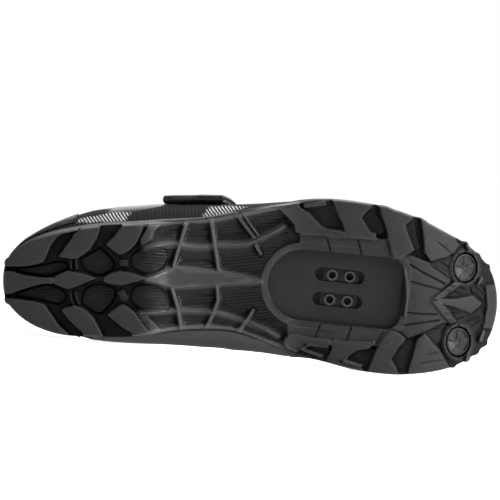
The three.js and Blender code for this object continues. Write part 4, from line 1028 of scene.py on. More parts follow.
def strap_surface(width, start, stop, line, slant):
    def point(u, v):
        across = start + (stop - start) * u
        section = line - slant * smooth((-across - 1) / 0.72)
        per_section = np.linalg.norm(over_point(section + 0.1, across) - over_point(section - 0.1, across),
                                     axis=-1) / 0.2
        return over_point(section + (0.5 - v) * width / per_section, across)
    return point


TONGUE_FRONT, TONGUE_LEAN, TONGUE_WIDEN, TONGUE_RISE, FREE_SHARE = 12.6, 0.95, 0.55, 26.0, 0.25


def tongue_surface(u, v):
    lower = 1 - FREE_SHARE
    reach = (2 * u - 1) * (1 + 0.3 * (1 - smooth((v - lower + 0.3) / 0.3)))
    out = np.clip((v - lower) / FREE_SHARE, 0, 1)
    run = np.clip(v / lower, 0, 1)
    point = over_point(TONGUE_FRONT + (THROAT_TOP - TONGUE_FRONT) * run, reach)
    middle = over_point(np.full(np.shape(reach), float(THROAT_TOP)), np.zeros(np.shape(reach)))
    widen = 1 + TONGUE_WIDEN * smooth(out)
    across = middle[..., 1] + (point[..., 1] - middle[..., 1]) * widen
    point = np.where((out > 0)[..., None], vec(point[..., 0], across, point[..., 2]), point)
    rise = np.array([-TONGUE_LEAN, 0, 1.0])
    return point + rise / np.linalg.norm(rise) * (out * TONGUE_RISE)[..., None]


def counter_surface(u, v):
    turn = 1 - 2 * u
    side = np.where(turn > 0, 1, -1)
    return upper_point(side, np.abs(turn) * 4.6, 0.06 + v * (0.5 - 0.2 * turn ** 2))


# Panels of the upper: outlines over section and height (in tenths), side by side
PANELS = {
    -1: ["0,5.2 1.6,5.4 3.4,4.6 4.9,3.6 5.4,2.2 5.2,0.9 6.2,0.9 7.4,2.6 7.6,4.2 6.2,6.2 4.6,7.6 2.5,8.3 "
         "0,8.6",
         "7.2,9.2 8.2,7.2 9.6,5.4 10.8,4.2 11.6,2.4 12.4,0.8 13.6,0.8 13.2,3 12.6,5 12.4,7 13.4,8.6 14.4,9.4 "
         "14.4,11 7.2,11",
         "16.2,-1 16.6,1.6 17.4,3.4 18.2,5.4 18.6,8 18.7,11 21,11 21,-1"],
    1: ["0,5.2 1.6,5.4 3.4,4.6 4.6,3.6 4.9,2 4.8,-1 11,-1 11.4,2 11,4 10,5.6 9,6.6 7.6,7.8 5.4,8 "
        "2.5,8.3 0,8.6",
        "7.2,9.2 8.4,8.2 10.2,7.2 11.8,5.8 12.6,3.4 13.2,1 14.4,1 14.1,3.4 13.4,6 13.2,7.6 13.8,8.8 14.4,9.4 "
        "14.4,11 7.2,11",
        "16.2,-1 16.6,1.6 17.4,3.4 18.2,5.4 18.6,8 18.7,11 21,11 21,-1"],
}
# Reflective hatching on the lateral side, in percent along and millimetres across
HATCHES = ["12.8,-32.2 17,-32 24.2,-33.2 25.4,-37.6 21,-37 17,-35.2 12.8,-32.8",
           "39.8,-34.6 44,-36.8 47,-39.2 49.5,-41 46,-41.4 41.4,-41"]


def panel_line(text):
    cells = np.array([[float(cell) for cell in pair.split(",")] for pair in text.split()])
    return rounded(wound(cells), most=0.5)


def panel_distance(side, section, height):
    """Distance inside the nearest panel, in tenths of the height, for one side."""
    points = np.stack([np.ravel(section), np.ravel(height) * 10], axis=1)
    best = np.full(len(points), 9.0)
    for text in PANELS[side]:
        best = np.minimum(best, distance_to(points, panel_line(text)))
    return best.reshape(np.shape(section))


def shell_normal(place, height, points):
    """Outward directions of the upper over places on its loop and heights."""
    ahead = upper_point(*sides_of(np.mod(place + 0.01, 2 * LAST)), height)
    behind = upper_point(*sides_of(np.mod(place - 0.01, 2 * LAST)), height)
    side, section = sides_of(place)
    above = upper_point(side, section, np.minimum(height + 2e-3, 1))
    below = upper_point(side, section, np.maximum(height - 2e-3, 0))
    normal = unit(np.cross(ahead - behind, above - below))
    third, half = len(points) // 4, len(points) // 2
    middle = np.array([LENGTH / 2, 5, 40])
    facing = np.sum(normal[third:half] * (points[third:half] - middle), axis=-1).mean()
    return normal if facing > 0 else -normal


def upper_mesh():
    places = np.linspace(0, 2 * LAST, 401)[:-1]
    heights = np.concatenate([[0, 0.006, 0.016, 0.03], np.linspace(0.045, 0.965, 64),
                              [0.978, 0.989, 0.996, 1]])
    gp, gh = np.meshgrid(places, heights)
    side, section = sides_of(gp)
    outer = upper_point(side, section, gh)
    normal = shell_normal(gp, gh, outer)
    inside = np.where(side < 0, panel_distance(-1, section, gh), panel_distance(1, section, gh))
    panel = smooth(-inside / 0.14)
    collar = smooth((9.2 - section) / 1.6) * smooth((gh - 0.80) / 0.12)
    seam = np.exp(-((inside + 0.3) / 0.07) ** 2) * (inside < 0)
    relief = 0.55 * panel - 0.16 * seam
    rim = np.clip((1 - gh) / 0.022, 0, 1)
    open_edge = section < THROAT_END
    round_off = np.where(open_edge, 1 - np.sqrt(np.clip(1 - (1 - rim) ** 2, 0, 1)), 0)
    outer_face = outer + normal * (relief - round_off * 0.9)[..., None]
    in_heights = np.concatenate([np.linspace(0, 0.9, 22), [0.93, 0.955, 0.975, 0.99, 1]])
    ip, ih = np.meshgrid(places, in_heights)
    i_side, i_section = sides_of(ip)
    inner = upper_point(i_side, i_section, ih)
    i_normal = shell_normal(ip, ih, inner)
    padding = 2.6 * smooth((8.6 - i_section) / 1.5) * np.sin(np.pi * np.clip((ih - 0.62) / 0.38, 0, 1)) ** 0.8
    i_rim = np.clip((1 - ih) / 0.03, 0, 1)
    i_open = np.where(i_section < THROAT_END, 1 - np.sqrt(np.clip(1 - (1 - i_rim) ** 2, 0, 1)), 0)
    inner_face = inner - i_normal * (WALL + padding - i_open * 0.9)[..., None]
    count = len(places)
    faces = grid_faces(count, len(heights), wrap=True)
    start = outer_face.shape[0] * count
    faces += [f[::-1] for f in grid_faces(count, len(in_heights), wrap=True, start=start)]
    last_outer = (len(heights) - 1) * count
    last_inner = start + (len(in_heights) - 1) * count
    for k in range(count):
        n = (k + 1) % count
        faces.append((k, start + k, start + n, n))
        if section[0, k] < THROAT_END or section[0, n] < THROAT_END:
            faces.append((last_outer + k, last_outer + n, last_inner + n, last_inner + k))
    hatch = np.full(outer.shape[0] * count, 9.0)
    for text in HATCHES:
        hatch = np.minimum(hatch, distance_to(outer.reshape(-1, 3)[:, :2], wound(plan_mm(text))))
    belly = gh[np.abs(outer[:40, :, 1]).argmax(axis=0), 0]
    hatch = ((hatch < 0) & (gh < belly + 0.02).ravel()) * 1.0
    # Painted light: the medial side, which faces the floor, is lighter low down and behind the ball.
    medial = (side > 0) * smooth((0.62 - gh) / 0.35) * smooth((0.74 - outer[..., 0] / LENGTH) / 0.14)
    stripe = ((outer[..., 0] - 0.81 * outer[..., 1]) / 2.05).ravel()
    zeros = np.zeros(inner_face.shape[0] * count)
    around = section * 14.0 * np.where(side < 0, -1, 1)
    uv = np.stack([around.ravel(), gh.ravel() * 70.0], axis=1) / 100
    i_around = i_section * 14.0 * np.where(i_side < 0, -1, 1)
    i_uv = np.stack([i_around.ravel(), ih.ravel() * 70.0], axis=1) / 100
    masks = {
        "panel": np.concatenate([panel.ravel(), zeros]),
        "collar": np.concatenate([collar.ravel(), zeros]),
        "hatch": np.concatenate([hatch, zeros]),
        "lining": np.concatenate([np.zeros(outer_face.shape[0] * count), zeros + 1]),
        "seam": np.concatenate([seam.ravel(), zeros]),
        "stripe": np.concatenate([stripe, zeros]),
        "medial": np.concatenate([medial.ravel(), zeros]),
    }
    points = np.concatenate([outer_face.reshape(-1, 3), inner_face.reshape(-1, 3)])
    return points, faces, masks, np.concatenate([uv, i_uv])


def seam_lines():
    """Stitching lines on the upper, just inside its panels, as points in the shoe's frame."""
    lines = []
    for side in (-1, 1):
        for text in PANELS[side]:
            outline = moved_out(panel_line(text), -0.26)
            dense = np.concatenate([np.linspace(a, b, 12, endpoint=False)
                                    for a, b in zip(outline, np.roll(outline, -1, axis=0))])
            section, height = dense[:, 0], dense[:, 1] / 10
            good = (section > 0.12) & (section < 18.6) & (height > 0.03) & (height < 0.965)
            points = upper_point(side, np.clip(section, 0, LAST), np.clip(height, 0, 1))
            normal = outward_normal(side, np.clip(section, 0, LAST), np.clip(height, 0, 1))
            points = points + normal * 0.62
            run = []
            for ok, p in zip(good, points):
                if ok:
                    run.append(p)
                elif len(run) > 8:
                    lines.append(np.array(run))
                    run = []
                else:
                    run = []
            if len(run) > 8:
                lines.append(np.array(run))
    return lines


def outward_normal(side, section, height):
    sway = upper_point(side, section + 0.02, height) - upper_point(side, section - 0.02, height)
    rise = upper_point(side, section, np.minimum(height + 4e-3, 1)) - upper_point(
        side, section, np.maximum(height - 4e-3, 0))
    normal = unit(np.cross(sway, rise))
    return normal * (-1 if side < 0 else 1)


def stitches(name, lines, finish, length, radius, pitch):
    """Stitches along lines by Geometry Nodes, turned into a plain mesh."""
    curve = bpy.data.curves.new(name, "CURVE")
    curve.dimensions = "3D"
    for line in lines:
        spline = curve.splines.new("POLY")
        placed = to_world(line)
        spline.points.add(len(placed) - 1)
        spline.points.foreach_set("co", np.column_stack([placed, np.ones(len(placed))]).ravel())
    holder = bpy.data.objects.new(name, curve)
    bpy.context.scene.collection.objects.link(holder)
    tree = stitch_tree(finish)
    modifier = holder.modifiers.new("stitches", "NODES")
    modifier.node_group = tree
    for item in tree.interface.items_tree:
        if item.in_out == "INPUT" and item.name in ("Pitch", "Length", "Radius"):
            modifier[item.identifier] = {"Pitch": pitch, "Length": length, "Radius": radius}[item.name]
    holder.update_tag()
    bpy.context.view_layer.update()
    evaluated = holder.evaluated_get(bpy.context.evaluated_depsgraph_get())
    mesh = bpy.data.meshes.new_from_object(evaluated)
    mesh.name = name
    bpy.data.objects.remove(holder)
    obj = bpy.data.objects.new(name, mesh)
    bpy.context.scene.collection.objects.link(obj)
    if not mesh.materials:
        mesh.materials.append(finish)
    mesh.shade_smooth()
    settle(obj)
    return obj


def stitch_tree(finish):
    tree = bpy.data.node_groups.new("stitches along a line", "GeometryNodeTree")
    face = tree.interface
    face.new_socket("Geometry", in_out="INPUT", socket_type="NodeSocketGeometry")
    for label, default in (("Pitch", 0.003), ("Length", 0.0022), ("Radius", 0.00028)):
        socket = face.new_socket(label, in_out="INPUT", socket_type="NodeSocketFloat")
        socket.default_value = default
    face.new_socket("Geometry", in_out="OUTPUT", socket_type="NodeSocketGeometry")
    make = tree.nodes.new
    start, end = make("NodeGroupInput"), make("NodeGroupOutput")
    resample = make("GeometryNodeResampleCurve")
    resample.mode = "LENGTH"
    to_points = make("GeometryNodeCurveToPoints")
    to_points.mode = "EVALUATED"
    stitch = make("GeometryNodeMeshUVSphere")
    stitch.inputs["Segments"].default_value = 6
    stitch.inputs["Rings"].default_value = 5
    stitch.inputs["Radius"].default_value = 1.0
    size = make("ShaderNodeCombineXYZ")
    half = make("ShaderNodeMath")
    half.operation = "MULTIPLY"
    half.inputs[1].default_value = 0.5
    shape = make("GeometryNodeTransform")
    instance = make("GeometryNodeInstanceOnPoints")
    realize = make("GeometryNodeRealizeInstances")
    paint = make("GeometryNodeSetMaterial")
    paint.inputs["Material"].default_value = finish
    join = tree.links.new
    join(start.outputs["Geometry"], resample.inputs["Curve"])
    join(start.outputs["Pitch"], resample.inputs["Length"])
    join(resample.outputs["Curve"], to_points.inputs["Curve"])
    join(start.outputs["Length"], half.inputs[0])
    join(start.outputs["Radius"], size.inputs["X"])
    join(start.outputs["Radius"], size.inputs["Y"])
    join(half.outputs[0], size.inputs["Z"])
    join(stitch.outputs["Mesh"], shape.inputs["Geometry"])
    join(size.outputs["Vector"], shape.inputs["Scale"])
    join(to_points.outputs["Points"], instance.inputs["Points"])
    join(shape.outputs["Geometry"], instance.inputs["Instance"])
    join(to_points.outputs["Rotation"], instance.inputs["Rotation"])
    join(instance.outputs["Instances"], realize.inputs["Geometry"])
    join(realize.outputs["Geometry"], paint.inputs["Geometry"])
    join(paint.outputs["Geometry"], end.inputs["Geometry"])
    return tree


def softened_copy(node, name, finish, width, body="shoe", angle=40):
    """A merged copy of a CAD node with its sharp edges bevelled."""
    source = frame["nodes"][node]
    mesh = source.data.copy()
    mesh.name = name
    work = bmesh.new()
    work.from_mesh(mesh)
    bmesh.ops.transform(work, matrix=source.matrix_world, verts=work.verts)
    bmesh.ops.remove_doubles(work, verts=work.verts, dist=1e-6)
    bmesh.ops.dissolve_limit(work, angle_limit=math.radians(3), verts=work.verts, edges=work.edges)
    sharp = [e for e in work.edges if len(e.link_faces) == 2 and e.calc_face_angle(0) > math.radians(angle)]
    bmesh.ops.bevel(work, geom=sharp, offset=width, segments=3, profile=0.6, affect="EDGES",
                    clamp_overlap=True)
    bmesh.ops.triangulate(work, faces=work.faces)
    work.to_mesh(mesh)
    work.free()
    mesh.materials.clear()
    mesh.materials.append(finish)
    mesh.shade_smooth()
    mesh.set_sharp_from_angle(angle=math.radians(50))
    obj = bpy.data.objects.new(name, mesh)
    bpy.context.scene.collection.objects.link(obj)
    settle(obj, (node,), body)
    return obj


# Shader groups, each built once
def node_group(name, inputs, outputs):
    tree = bpy.data.node_groups.new(name, "ShaderNodeTree")
    for label, kind, default in inputs:
        socket = tree.interface.new_socket(label, in_out="INPUT", socket_type=kind)
        if default is not None:
            socket.default_value = default
    for label, kind in outputs:
        tree.interface.new_socket(label, in_out="OUTPUT", socket_type=kind)
    return tree, tree.nodes.new("NodeGroupInput"), tree.nodes.new("NodeGroupOutput")


class Nodes:
    """Short calls for making and joining shader nodes."""

    def __init__(self, tree):
        self.tree = tree

    def put(self, socket, value):
        if isinstance(value, bpy.types.NodeSocket):
            self.tree.links.new(value, socket)
        elif value is not None:
            socket.default_value = value

    def node(self, kind, **values):
        node = self.tree.nodes.new(kind)
        for key, value in values.items():
            if hasattr(node, key):
                setattr(node, key, value)
            else:
                self.put(node.inputs[key.replace("_", " ")], value)
        return node

    def math(self, operation, a, b=None, c=None, clamp=False):
        node = self.tree.nodes.new("ShaderNodeMath")
        node.operation = operation
        node.use_clamp = clamp
        for socket, value in zip(node.inputs, (a, b, c)):
            self.put(socket, value)
        return node.outputs[0]

    def mix(self, share, a, b):
        node = self.tree.nodes.new("ShaderNodeMix")
        node.data_type = "RGBA"
        self.put(node.inputs["Factor"], share)
        self.put(node.inputs["A"], a)
        self.put(node.inputs["B"], b)
        return node.outputs["Result"]

    def noise(self, vector, scale, detail=3.0, roughness=0.55):
        node = self.tree.nodes.new("ShaderNodeTexNoise")
        self.put(node.inputs["Vector"], vector)
        self.put(node.inputs["Scale"], scale)
        self.put(node.inputs["Detail"], detail)
        self.put(node.inputs["Roughness"], roughness)
        return node.outputs["Fac"]

    def range(self, value, low, high, to_low=0.0, to_high=1.0):
        node = self.tree.nodes.new("ShaderNodeMapRange")
        for key, v in (("Value", value), ("From Min", low), ("From Max", high), ("To Min", to_low),
                       ("To Max", to_high)):
            self.put(node.inputs[key], v)
        return node.outputs["Result"]

    def attribute(self, name):
        node = self.tree.nodes.new("ShaderNodeAttribute")
        node.attribute_name = name
        return node.outputs["Fac"]

    def bump(self, height, strength, distance, normal=None):
        node = self.tree.nodes.new("ShaderNodeBump")
        self.put(node.inputs["Height"], height)
        node.inputs["Strength"].default_value = strength
        node.inputs["Distance"].default_value = distance
        self.put(node.inputs["Normal"], normal)
        return node.outputs["Normal"]


def grain_group():
    """Moulded grain: a fine stipple over slow waves."""
    tree, inside, outside = node_group(
        "moulded grain", [("Vector", "NodeSocketVector", None), ("Fine", "NodeSocketFloat", 1800.0),
                          ("Coarse", "NodeSocketFloat", 90.0)],
        [("Height", "NodeSocketFloat"), ("Mottle", "NodeSocketFloat")])
    n = Nodes(tree)
    fine = n.noise(inside.outputs["Vector"], inside.outputs["Fine"], 2.0)
    coarse = n.noise(inside.outputs["Vector"], inside.outputs["Coarse"], 4.0)
    n.put(outside.inputs["Height"], n.math("MULTIPLY_ADD", coarse, 0.5, fine))
    n.put(outside.inputs["Mottle"], n.range(coarse, 0.35, 0.65))
    return tree


def new_material(name):
    material = bpy.data.materials.new(name)
    material.use_nodes = True
    n = Nodes(material.node_tree)
    shader = material.node_tree.nodes["Principled BSDF"]
    coordinates = material.node_tree.nodes.new("ShaderNodeTexCoord")
    return material, n, shader, coordinates


GROUPS = {}


def use_group(n, name, **values):
    """Outputs of a shared group placed in a material, with its own values."""
    if name not in GROUPS:
        GROUPS[name] = {"moulded grain": grain_group, "mesh cloth": weave_group}[name]()
    node = n.tree.nodes.new("ShaderNodeGroup")
    node.node_tree = GROUPS[name]
    for key, value in values.items():
        n.put(node.inputs[key], value)
    return node.outputs


def grey(value):
    return (value, value, value, 1.0)


def shade(colour, share):
    """The colour made darker or lighter by a share."""
    return (colour[0] * share, colour[1] * share, colour[2] * share, 1.0)


def rubber_material(look):
    material, n, shader, where = new_material("moulded rubber")
    grain = use_group(n, "moulded grain", Vector=where.outputs["Object"], Fine=2200.0, Coarse=70.0)
    wear_and_highlight, ribs, painted_shade, shine = (n.attribute(name) for name in ("wear_and_highlight", "ribs", "painted_shade", "shine"))
    base = n.mix(grain["Mottle"], shade(look.rubber, 0.88), shade(look.rubber, 1.12))
    # Painted shade: the painted_shade mask darkens the base colour towards black.
    shaded = n.mix(painted_shade, grey(0.0), base)
    # Lightened rims, crests and sole edge: wear and painted highlight, stronger in the glossy waist.
    wear_and_highlight_share = n.math("MULTIPLY", wear_and_highlight, n.math("MULTIPLY_ADD", shine, 0.25, 0.3))
    n.put(shader.inputs["Base Color"], n.mix(wear_and_highlight_share, shaded, shade(look.rubber, 4.0)))
    dull = n.range(grain["Mottle"], 0.0, 1.0, 0.50, 0.60)
    n.put(shader.inputs["Roughness"], n.math("MULTIPLY_ADD", shine, -0.24, dull))
    gloss = n.math("MULTIPLY_ADD", shine, 0.35, 0.3)
    # The painted shade lowers the specular level as well.
    n.put(shader.inputs["Specular IOR Level"], n.math("MULTIPLY", gloss, painted_shade))
    wave = n.math("SINE", n.math("MULTIPLY", n.attribute("phase"), 3.6))
    patchy = n.range(n.noise(where.outputs["Object"], 130.0), 0.4, 0.6, 0.25, 1.0)
    ridges = n.math("MULTIPLY", n.math("MULTIPLY", wave, ribs), patchy)
    first = n.bump(ridges, 0.7, 0.0004)
    n.put(shader.inputs["Normal"], n.bump(grain["Height"], 0.2, 0.00012, first))
    return material


def moulded_material(name, colour, low, high, specular=0.5):
    """Plain moulded plastic: plate, plugs, counter and straps."""
    material, n, shader, where = new_material(name)
    grain = use_group(n, "moulded grain", Vector=where.outputs["Object"], Fine=2400.0, Coarse=110.0)
    base = n.mix(grain["Mottle"], shade(colour, 0.85), shade(colour, 1.15))
    n.put(shader.inputs["Base Color"], base)
    n.put(shader.inputs["Roughness"], n.range(grain["Mottle"], 0.0, 1.0, low, high))
    shader.inputs["Specular IOR Level"].default_value = specular
    n.put(shader.inputs["Normal"], n.bump(grain["Height"], 0.15, 0.00012))
    return material


def steel_material(look):
    material, n, shader, where = new_material("steel with painted boss highlight")
    grain = use_group(n, "moulded grain", Vector=where.outputs["Object"], Fine=3000.0, Coarse=300.0)
    # Painted highlight: the bosses' top faces take the full steel colour and are fully metallic; the rest of
    # the plate is much darker.
    boss_top_highlight = n.attribute("boss_top_highlight")
    dark = n.mix(grain["Mottle"], shade(look.steel, 0.12), shade(look.steel, 0.2))
    n.put(shader.inputs["Base Color"], n.mix(boss_top_highlight, dark, look.steel[:]))
    n.put(shader.inputs["Metallic"], n.range(boss_top_highlight, 0.0, 1.0, 0.4, 1.0))
    n.put(shader.inputs["Roughness"], n.range(grain["Mottle"], 0.0, 1.0, 0.34, 0.46))
    n.put(shader.inputs["Normal"], n.bump(grain["Height"], 0.12, 0.0001))
    return material


def weave_group():
    """Open mesh cloth: rows of small hollows, shifted by half from row to row."""
    tree, inside, outside = node_group(
        "mesh cloth", [("Vector", "NodeSocketVector", None), ("Scale", "NodeSocketFloat", 60.0)],
        [("Height", "NodeSocketFloat"), ("Hole", "NodeSocketFloat")])
    n = Nodes(tree)
    split = n.node("ShaderNodeSeparateXYZ", Vector=inside.outputs["Vector"])
    x = n.math("MULTIPLY", split.outputs["X"], inside.outputs["Scale"])
    y = n.math("MULTIPLY", split.outputs["Y"], inside.outputs["Scale"])
    wave_x = n.math("SINE", n.math("MULTIPLY", n.math("ADD", x, y), 2 * math.pi))
    wave_y = n.math("SINE", n.math("MULTIPLY", n.math("SUBTRACT", x, y), 2 * math.pi))
    both = n.math("MULTIPLY", wave_x, wave_y)
    n.put(outside.inputs["Height"], n.math("MULTIPLY", both, 0.5))
    n.put(outside.inputs["Hole"], n.range(both, 0.25, 0.6))
    return tree


def upper_material(look):
    material, n, shader, where = new_material("upper")
    uv = where.outputs["UV"]
    grain = use_group(n, "moulded grain", Vector=where.outputs["Object"], Fine=1400.0, Coarse=45.0)
    cloth = use_group(n, "mesh cloth", Vector=uv, Scale=34.0)
    lining_cloth = use_group(n, "mesh cloth", Vector=uv, Scale=52.0)
    panel, lining, hatch = n.attribute("panel"), n.attribute("lining"), n.attribute("hatch")
    collar, seam = n.attribute("collar"), n.attribute("seam")
    # On the medial side the leather takes a lighter colour: painted light from the floor.
    leather = n.mix(n.attribute("medial"), look.leather_lateral[:], look.leather_medial_painted_light[:])
    leather = n.mix(grain["Mottle"], leather, n.mix(0.12, leather, grey(0.2)))
    mesh_colour = n.mix(cloth["Hole"], look.mesh[:], shade(look.mesh, 0.25))
    colour = n.mix(panel, mesh_colour, leather)
    colour = n.mix(n.math("MULTIPLY", seam, 0.6), colour, grey(0.01))
    colour = n.mix(collar, colour, look.mesh[:])
    wave = n.math("SINE", n.math("MULTIPLY", n.attribute("stripe"), 2 * math.pi))
    shown = n.math("MULTIPLY", n.range(wave, -0.1, 0.3), hatch)
    colour = n.mix(shown, colour, look.reflective[:])
    colour = n.mix(lining, colour, n.mix(lining_cloth["Hole"], look.mesh[:], shade(look.mesh, 0.5)))
    n.put(shader.inputs["Base Color"], colour)
    rough = n.range(panel, 0.0, 1.0, 0.85, 0.36)
    rough = n.math("MAXIMUM", rough, n.math("MULTIPLY", n.math("MAXIMUM", lining, collar), 0.9))
    n.put(shader.inputs["Roughness"], rough)
    shader.inputs["Specular IOR Level"].default_value = 0.4
    flat = n.math("SUBTRACT", 1.0, n.math("MAXIMUM", panel, lining, clamp=True))
    woven = n.math("MULTIPLY", cloth["Height"], flat)
    woven = n.math("ADD", woven, n.math("MULTIPLY", lining_cloth["Height"], lining))
    first = n.bump(woven, 0.6, 0.0005)
    n.put(shader.inputs["Normal"], n.bump(grain["Height"], 0.22, 0.0002, first))
    return material


def cloth_material(name, colour, scale):
    material, n, shader, where = new_material(name)
    grain = use_group(n, "moulded grain", Vector=where.outputs["Object"], Fine=1800.0, Coarse=80.0)
    cloth = use_group(n, "mesh cloth", Vector=where.outputs["UV"], Scale=scale)
    base = n.mix(grain["Mottle"], shade(colour, 0.9), shade(colour, 1.2))
    n.put(shader.inputs["Base Color"], n.mix(cloth["Hole"], base, shade(colour, 0.4)))
    n.put(shader.inputs["Roughness"], 0.9)
    shader.inputs["Sheen Weight"].default_value = 0.15
    first = n.bump(cloth["Height"], 0.6, 0.0005)
    n.put(shader.inputs["Normal"], n.bump(grain["Height"], 0.2, 0.0002, first))
    return material


def thread_material(look):
    material, n, shader, where = new_material("thread")
    fibre = n.noise(where.outputs["Object"], 3000.0, 2.0)
    n.put(shader.inputs["Base Color"], n.mix(fibre, shade(look.thread, 0.5), shade(look.thread, 1.5)))
    n.put(shader.inputs["Roughness"], 0.75)
    n.put(shader.inputs["Normal"], n.bump(fibre, 0.3, 0.0001))
    return material


def stage_material(look):
    material, n, shader, where = new_material("studio paper")
    n.put(shader.inputs["Base Color"], look.paper[:])
    n.put(shader.inputs["Emission Color"], look.paper[:])
    path = material.node_tree.nodes.new("ShaderNodeLightPath")
    n.put(shader.inputs["Emission Strength"], n.range(path.outputs["Is Camera Ray"], 0.0, 1.0, 0.2, 1.0))
    n.put(shader.inputs["Roughness"], 0.9)
    speck = n.noise(where.outputs["Object"], 60.0)
    n.put(shader.inputs["Normal"], n.bump(speck, 0.02, 0.0005))
    return material


def add_light(name, place, aim, size, power, size_y=None):
    data = bpy.data.lights.new(name, "AREA")
    data.shape = "RECTANGLE"
    data.size, data.size_y = size, size_y or size
    data.energy = power
    lamp = bpy.data.objects.new(name, data)
    lamp.location = place
    lamp.rotation_euler = (Vector(aim) - Vector(place)).to_track_quat("-Z", "Y").to_euler()
    bpy.context.scene.collection.objects.link(lamp)
    return lamp


# The photograph's frame in pixels, one pixel's size on the sole in millimetres, and where the sole starts
FRAME = 500
PIXEL = 0.566
HEEL_COLUMN = 4
AXIS_ROW = 281


def build_camera():
    """The photograph's view: straight onto the sole, rolled so that the sole's axis lies level."""
    middle_x, middle_y = ((FRAME / 2 - start) * PIXEL for start in (HEEL_COLUMN, AXIS_ROW))
    middle = SHOE @ (Vector((middle_x, middle_y, RECESS_HEIGHT)) / 1000)
    toward = Vector((0, 1, 0))
    along = (SHOE.to_3x3() @ Vector((1, 0, 0)))
    along = (along - toward * along.dot(toward)).normalized()
    up = along.cross(toward).normalized()
    basis = Matrix((along, up, -toward)).transposed()
    data = bpy.data.cameras.new("photograph")
    distance = 2.6
    data.sensor_fit = "HORIZONTAL"
    data.sensor_width = 36
    data.lens = 36 * distance / (FRAME * PIXEL / 1000)
    data.clip_start, data.clip_end = 0.05, 50
    camera = bpy.data.objects.new("photograph", data)
    place = basis.to_4x4()
    place.translation = middle - toward * distance
    camera.matrix_world = place
    bpy.context.scene.collection.objects.link(camera)
    bpy.context.scene.camera = camera


def build_stage(look):
    finish = stage_material(look)
    mesh = bpy.data.meshes.new("studio_floor")
    mesh.from_pydata([(-12, -12, 0), (12, -12, 0), (12, 12, 0), (-12, 12, 0)], [], [(0, 1, 2, 3)])
    floor = bpy.data.objects.new("studio_floor", mesh)
    bpy.context.scene.collection.objects.link(floor)
    mesh.materials.append(finish)
    sky = bpy.data.lights.new("overhead", "SUN")
    sky.energy, sky.angle = 1.2, math.radians(60)
    lamp = bpy.data.objects.new("overhead", sky)
    lamp.rotation_euler = Vector((-0.5, 0.2, -1)).to_track_quat("-Z", "Y").to_euler()
    bpy.context.scene.collection.objects.link(lamp)
    add_light("toe_softbox", (0.95, -0.5, 0.4), (0.1, 0, 0.05), 0.45, look.key_power)
    add_light("heel_softbox", (-1.4, -0.9, 0.7), (0, 0, 0.05), 0.8, look.fill_power)
    add_light("back_softbox", (0.2, 1.3, 1.1), (0, 0, 0.06), 1.4, look.back_power)
    add_light("upper_strip", (0.1, -1.1, 1.2), (0, 0, 0.05), 1.0, look.strip_power, 0.12)
    world = bpy.data.worlds.new("studio")
    world.use_nodes = True
    tree = world.node_tree
    back = tree.nodes["Background"]
    back.inputs["Color"].default_value = (1, 1, 1, 1)
    path = tree.nodes.new("ShaderNodeLightPath")
    share = tree.nodes.new("ShaderNodeMapRange")
    share.inputs["To Min"].default_value = 0.10
    share.inputs["To Max"].default_value = 1.0
    tree.links.new(path.outputs["Is Camera Ray"], share.inputs["Value"])
    tree.links.new(share.outputs["Result"], back.inputs["Strength"])
    bpy.context.scene.world = world
    bpy.context.scene.view_settings.view_transform = "Standard"


def colour_of(value, label, description):
    return bpy.props.FloatVectorProperty(name=label, description=description, subtype="COLOR", size=4,
                                         min=0, max=1, default=grey(value))


def size_of(millimetres, label, description):
    return bpy.props.FloatProperty(name=label, description=description, default=millimetres / 1000, min=0,
                                   unit="LENGTH", subtype="DISTANCE")


def power_of(watts, label, description):
    return bpy.props.FloatProperty(name=label, description=description, default=watts, min=0, unit="POWER")


class ShoeLooks(bpy.types.PropertyGroup):
    """Sizes and colours of the shoe's looks"""
    rubber: colour_of(0.03, "Rubber", "Colour of the moulded sole")
    nylon: colour_of(0.017, "Nylon", "Colour of the plate in the cleat window")
    # The full steel colour goes on the bosses' top faces as a painted highlight.
    steel: colour_of(0.1, "Steel", "Colour of the nut plate's bosses")
    plug: colour_of(0.026, "Plug", "Colour of the stud plugs")
    leather_lateral: colour_of(0.034, "Leather, lateral", "Colour of the panels on the lateral side")
    # The medial leather is the same leather painted lighter, as if lit from the floor.
    leather_medial_painted_light: colour_of(0.16, "Leather, medial", "Colour of the panels on the medial side")
    mesh: colour_of(0.022, "Mesh", "Colour of the mesh cloth")
    reflective: colour_of(0.85, "Reflective print", "Colour of the slanted hatching")
    counter: colour_of(0.02, "Heel counter", "Colour of the moulded heel counter")
    strap: colour_of(0.011, "Straps", "Colour of the coated straps")
    tongue: colour_of(0.02, "Tongue", "Colour of the tongue's cloth")
    footbed: colour_of(0.03, "Footbed", "Colour of the insole's cloth")
    thread: colour_of(0.07, "Thread", "Colour of the stitching")
    paper: colour_of(0.9, "Studio paper", "Colour of the floor")
    stitch_pitch: size_of(3.0, "Stitch pitch", "Distance from stitch to stitch")
    stitch_length: size_of(2.2, "Stitch length", "Length of one stitch")
    stitch_radius: size_of(0.28, "Stitch radius", "Half the thickness of the thread")
    plate_edge: size_of(0.35, "Plate edge", "Bevel on the nylon plate")
    nut_edge: size_of(0.3, "Nut plate edge", "Bevel on the steel nut plate")
    instep_edge: size_of(1.6, "Instep strap edge", "Rounding of the thick strap's border")
    forefoot_edge: size_of(1.1, "Forefoot strap edge", "Rounding of the thin strap's border")
    tongue_edge: size_of(1.9, "Tongue edge", "Rounding of the tongue's border")
    footbed_edge: size_of(1.2, "Footbed edge", "Rounding of the insole's border")
    key_power: power_of(7.5, "Key light", "Power of the softbox on the toe side")
    fill_power: power_of(1.0, "Fill light", "Power of the softbox on the heel side")
    back_power: power_of(16.0, "Back light", "Power of the softbox behind the shoe")
    strip_power: power_of(3.5, "Strip light", "Power of the strip above the camera")


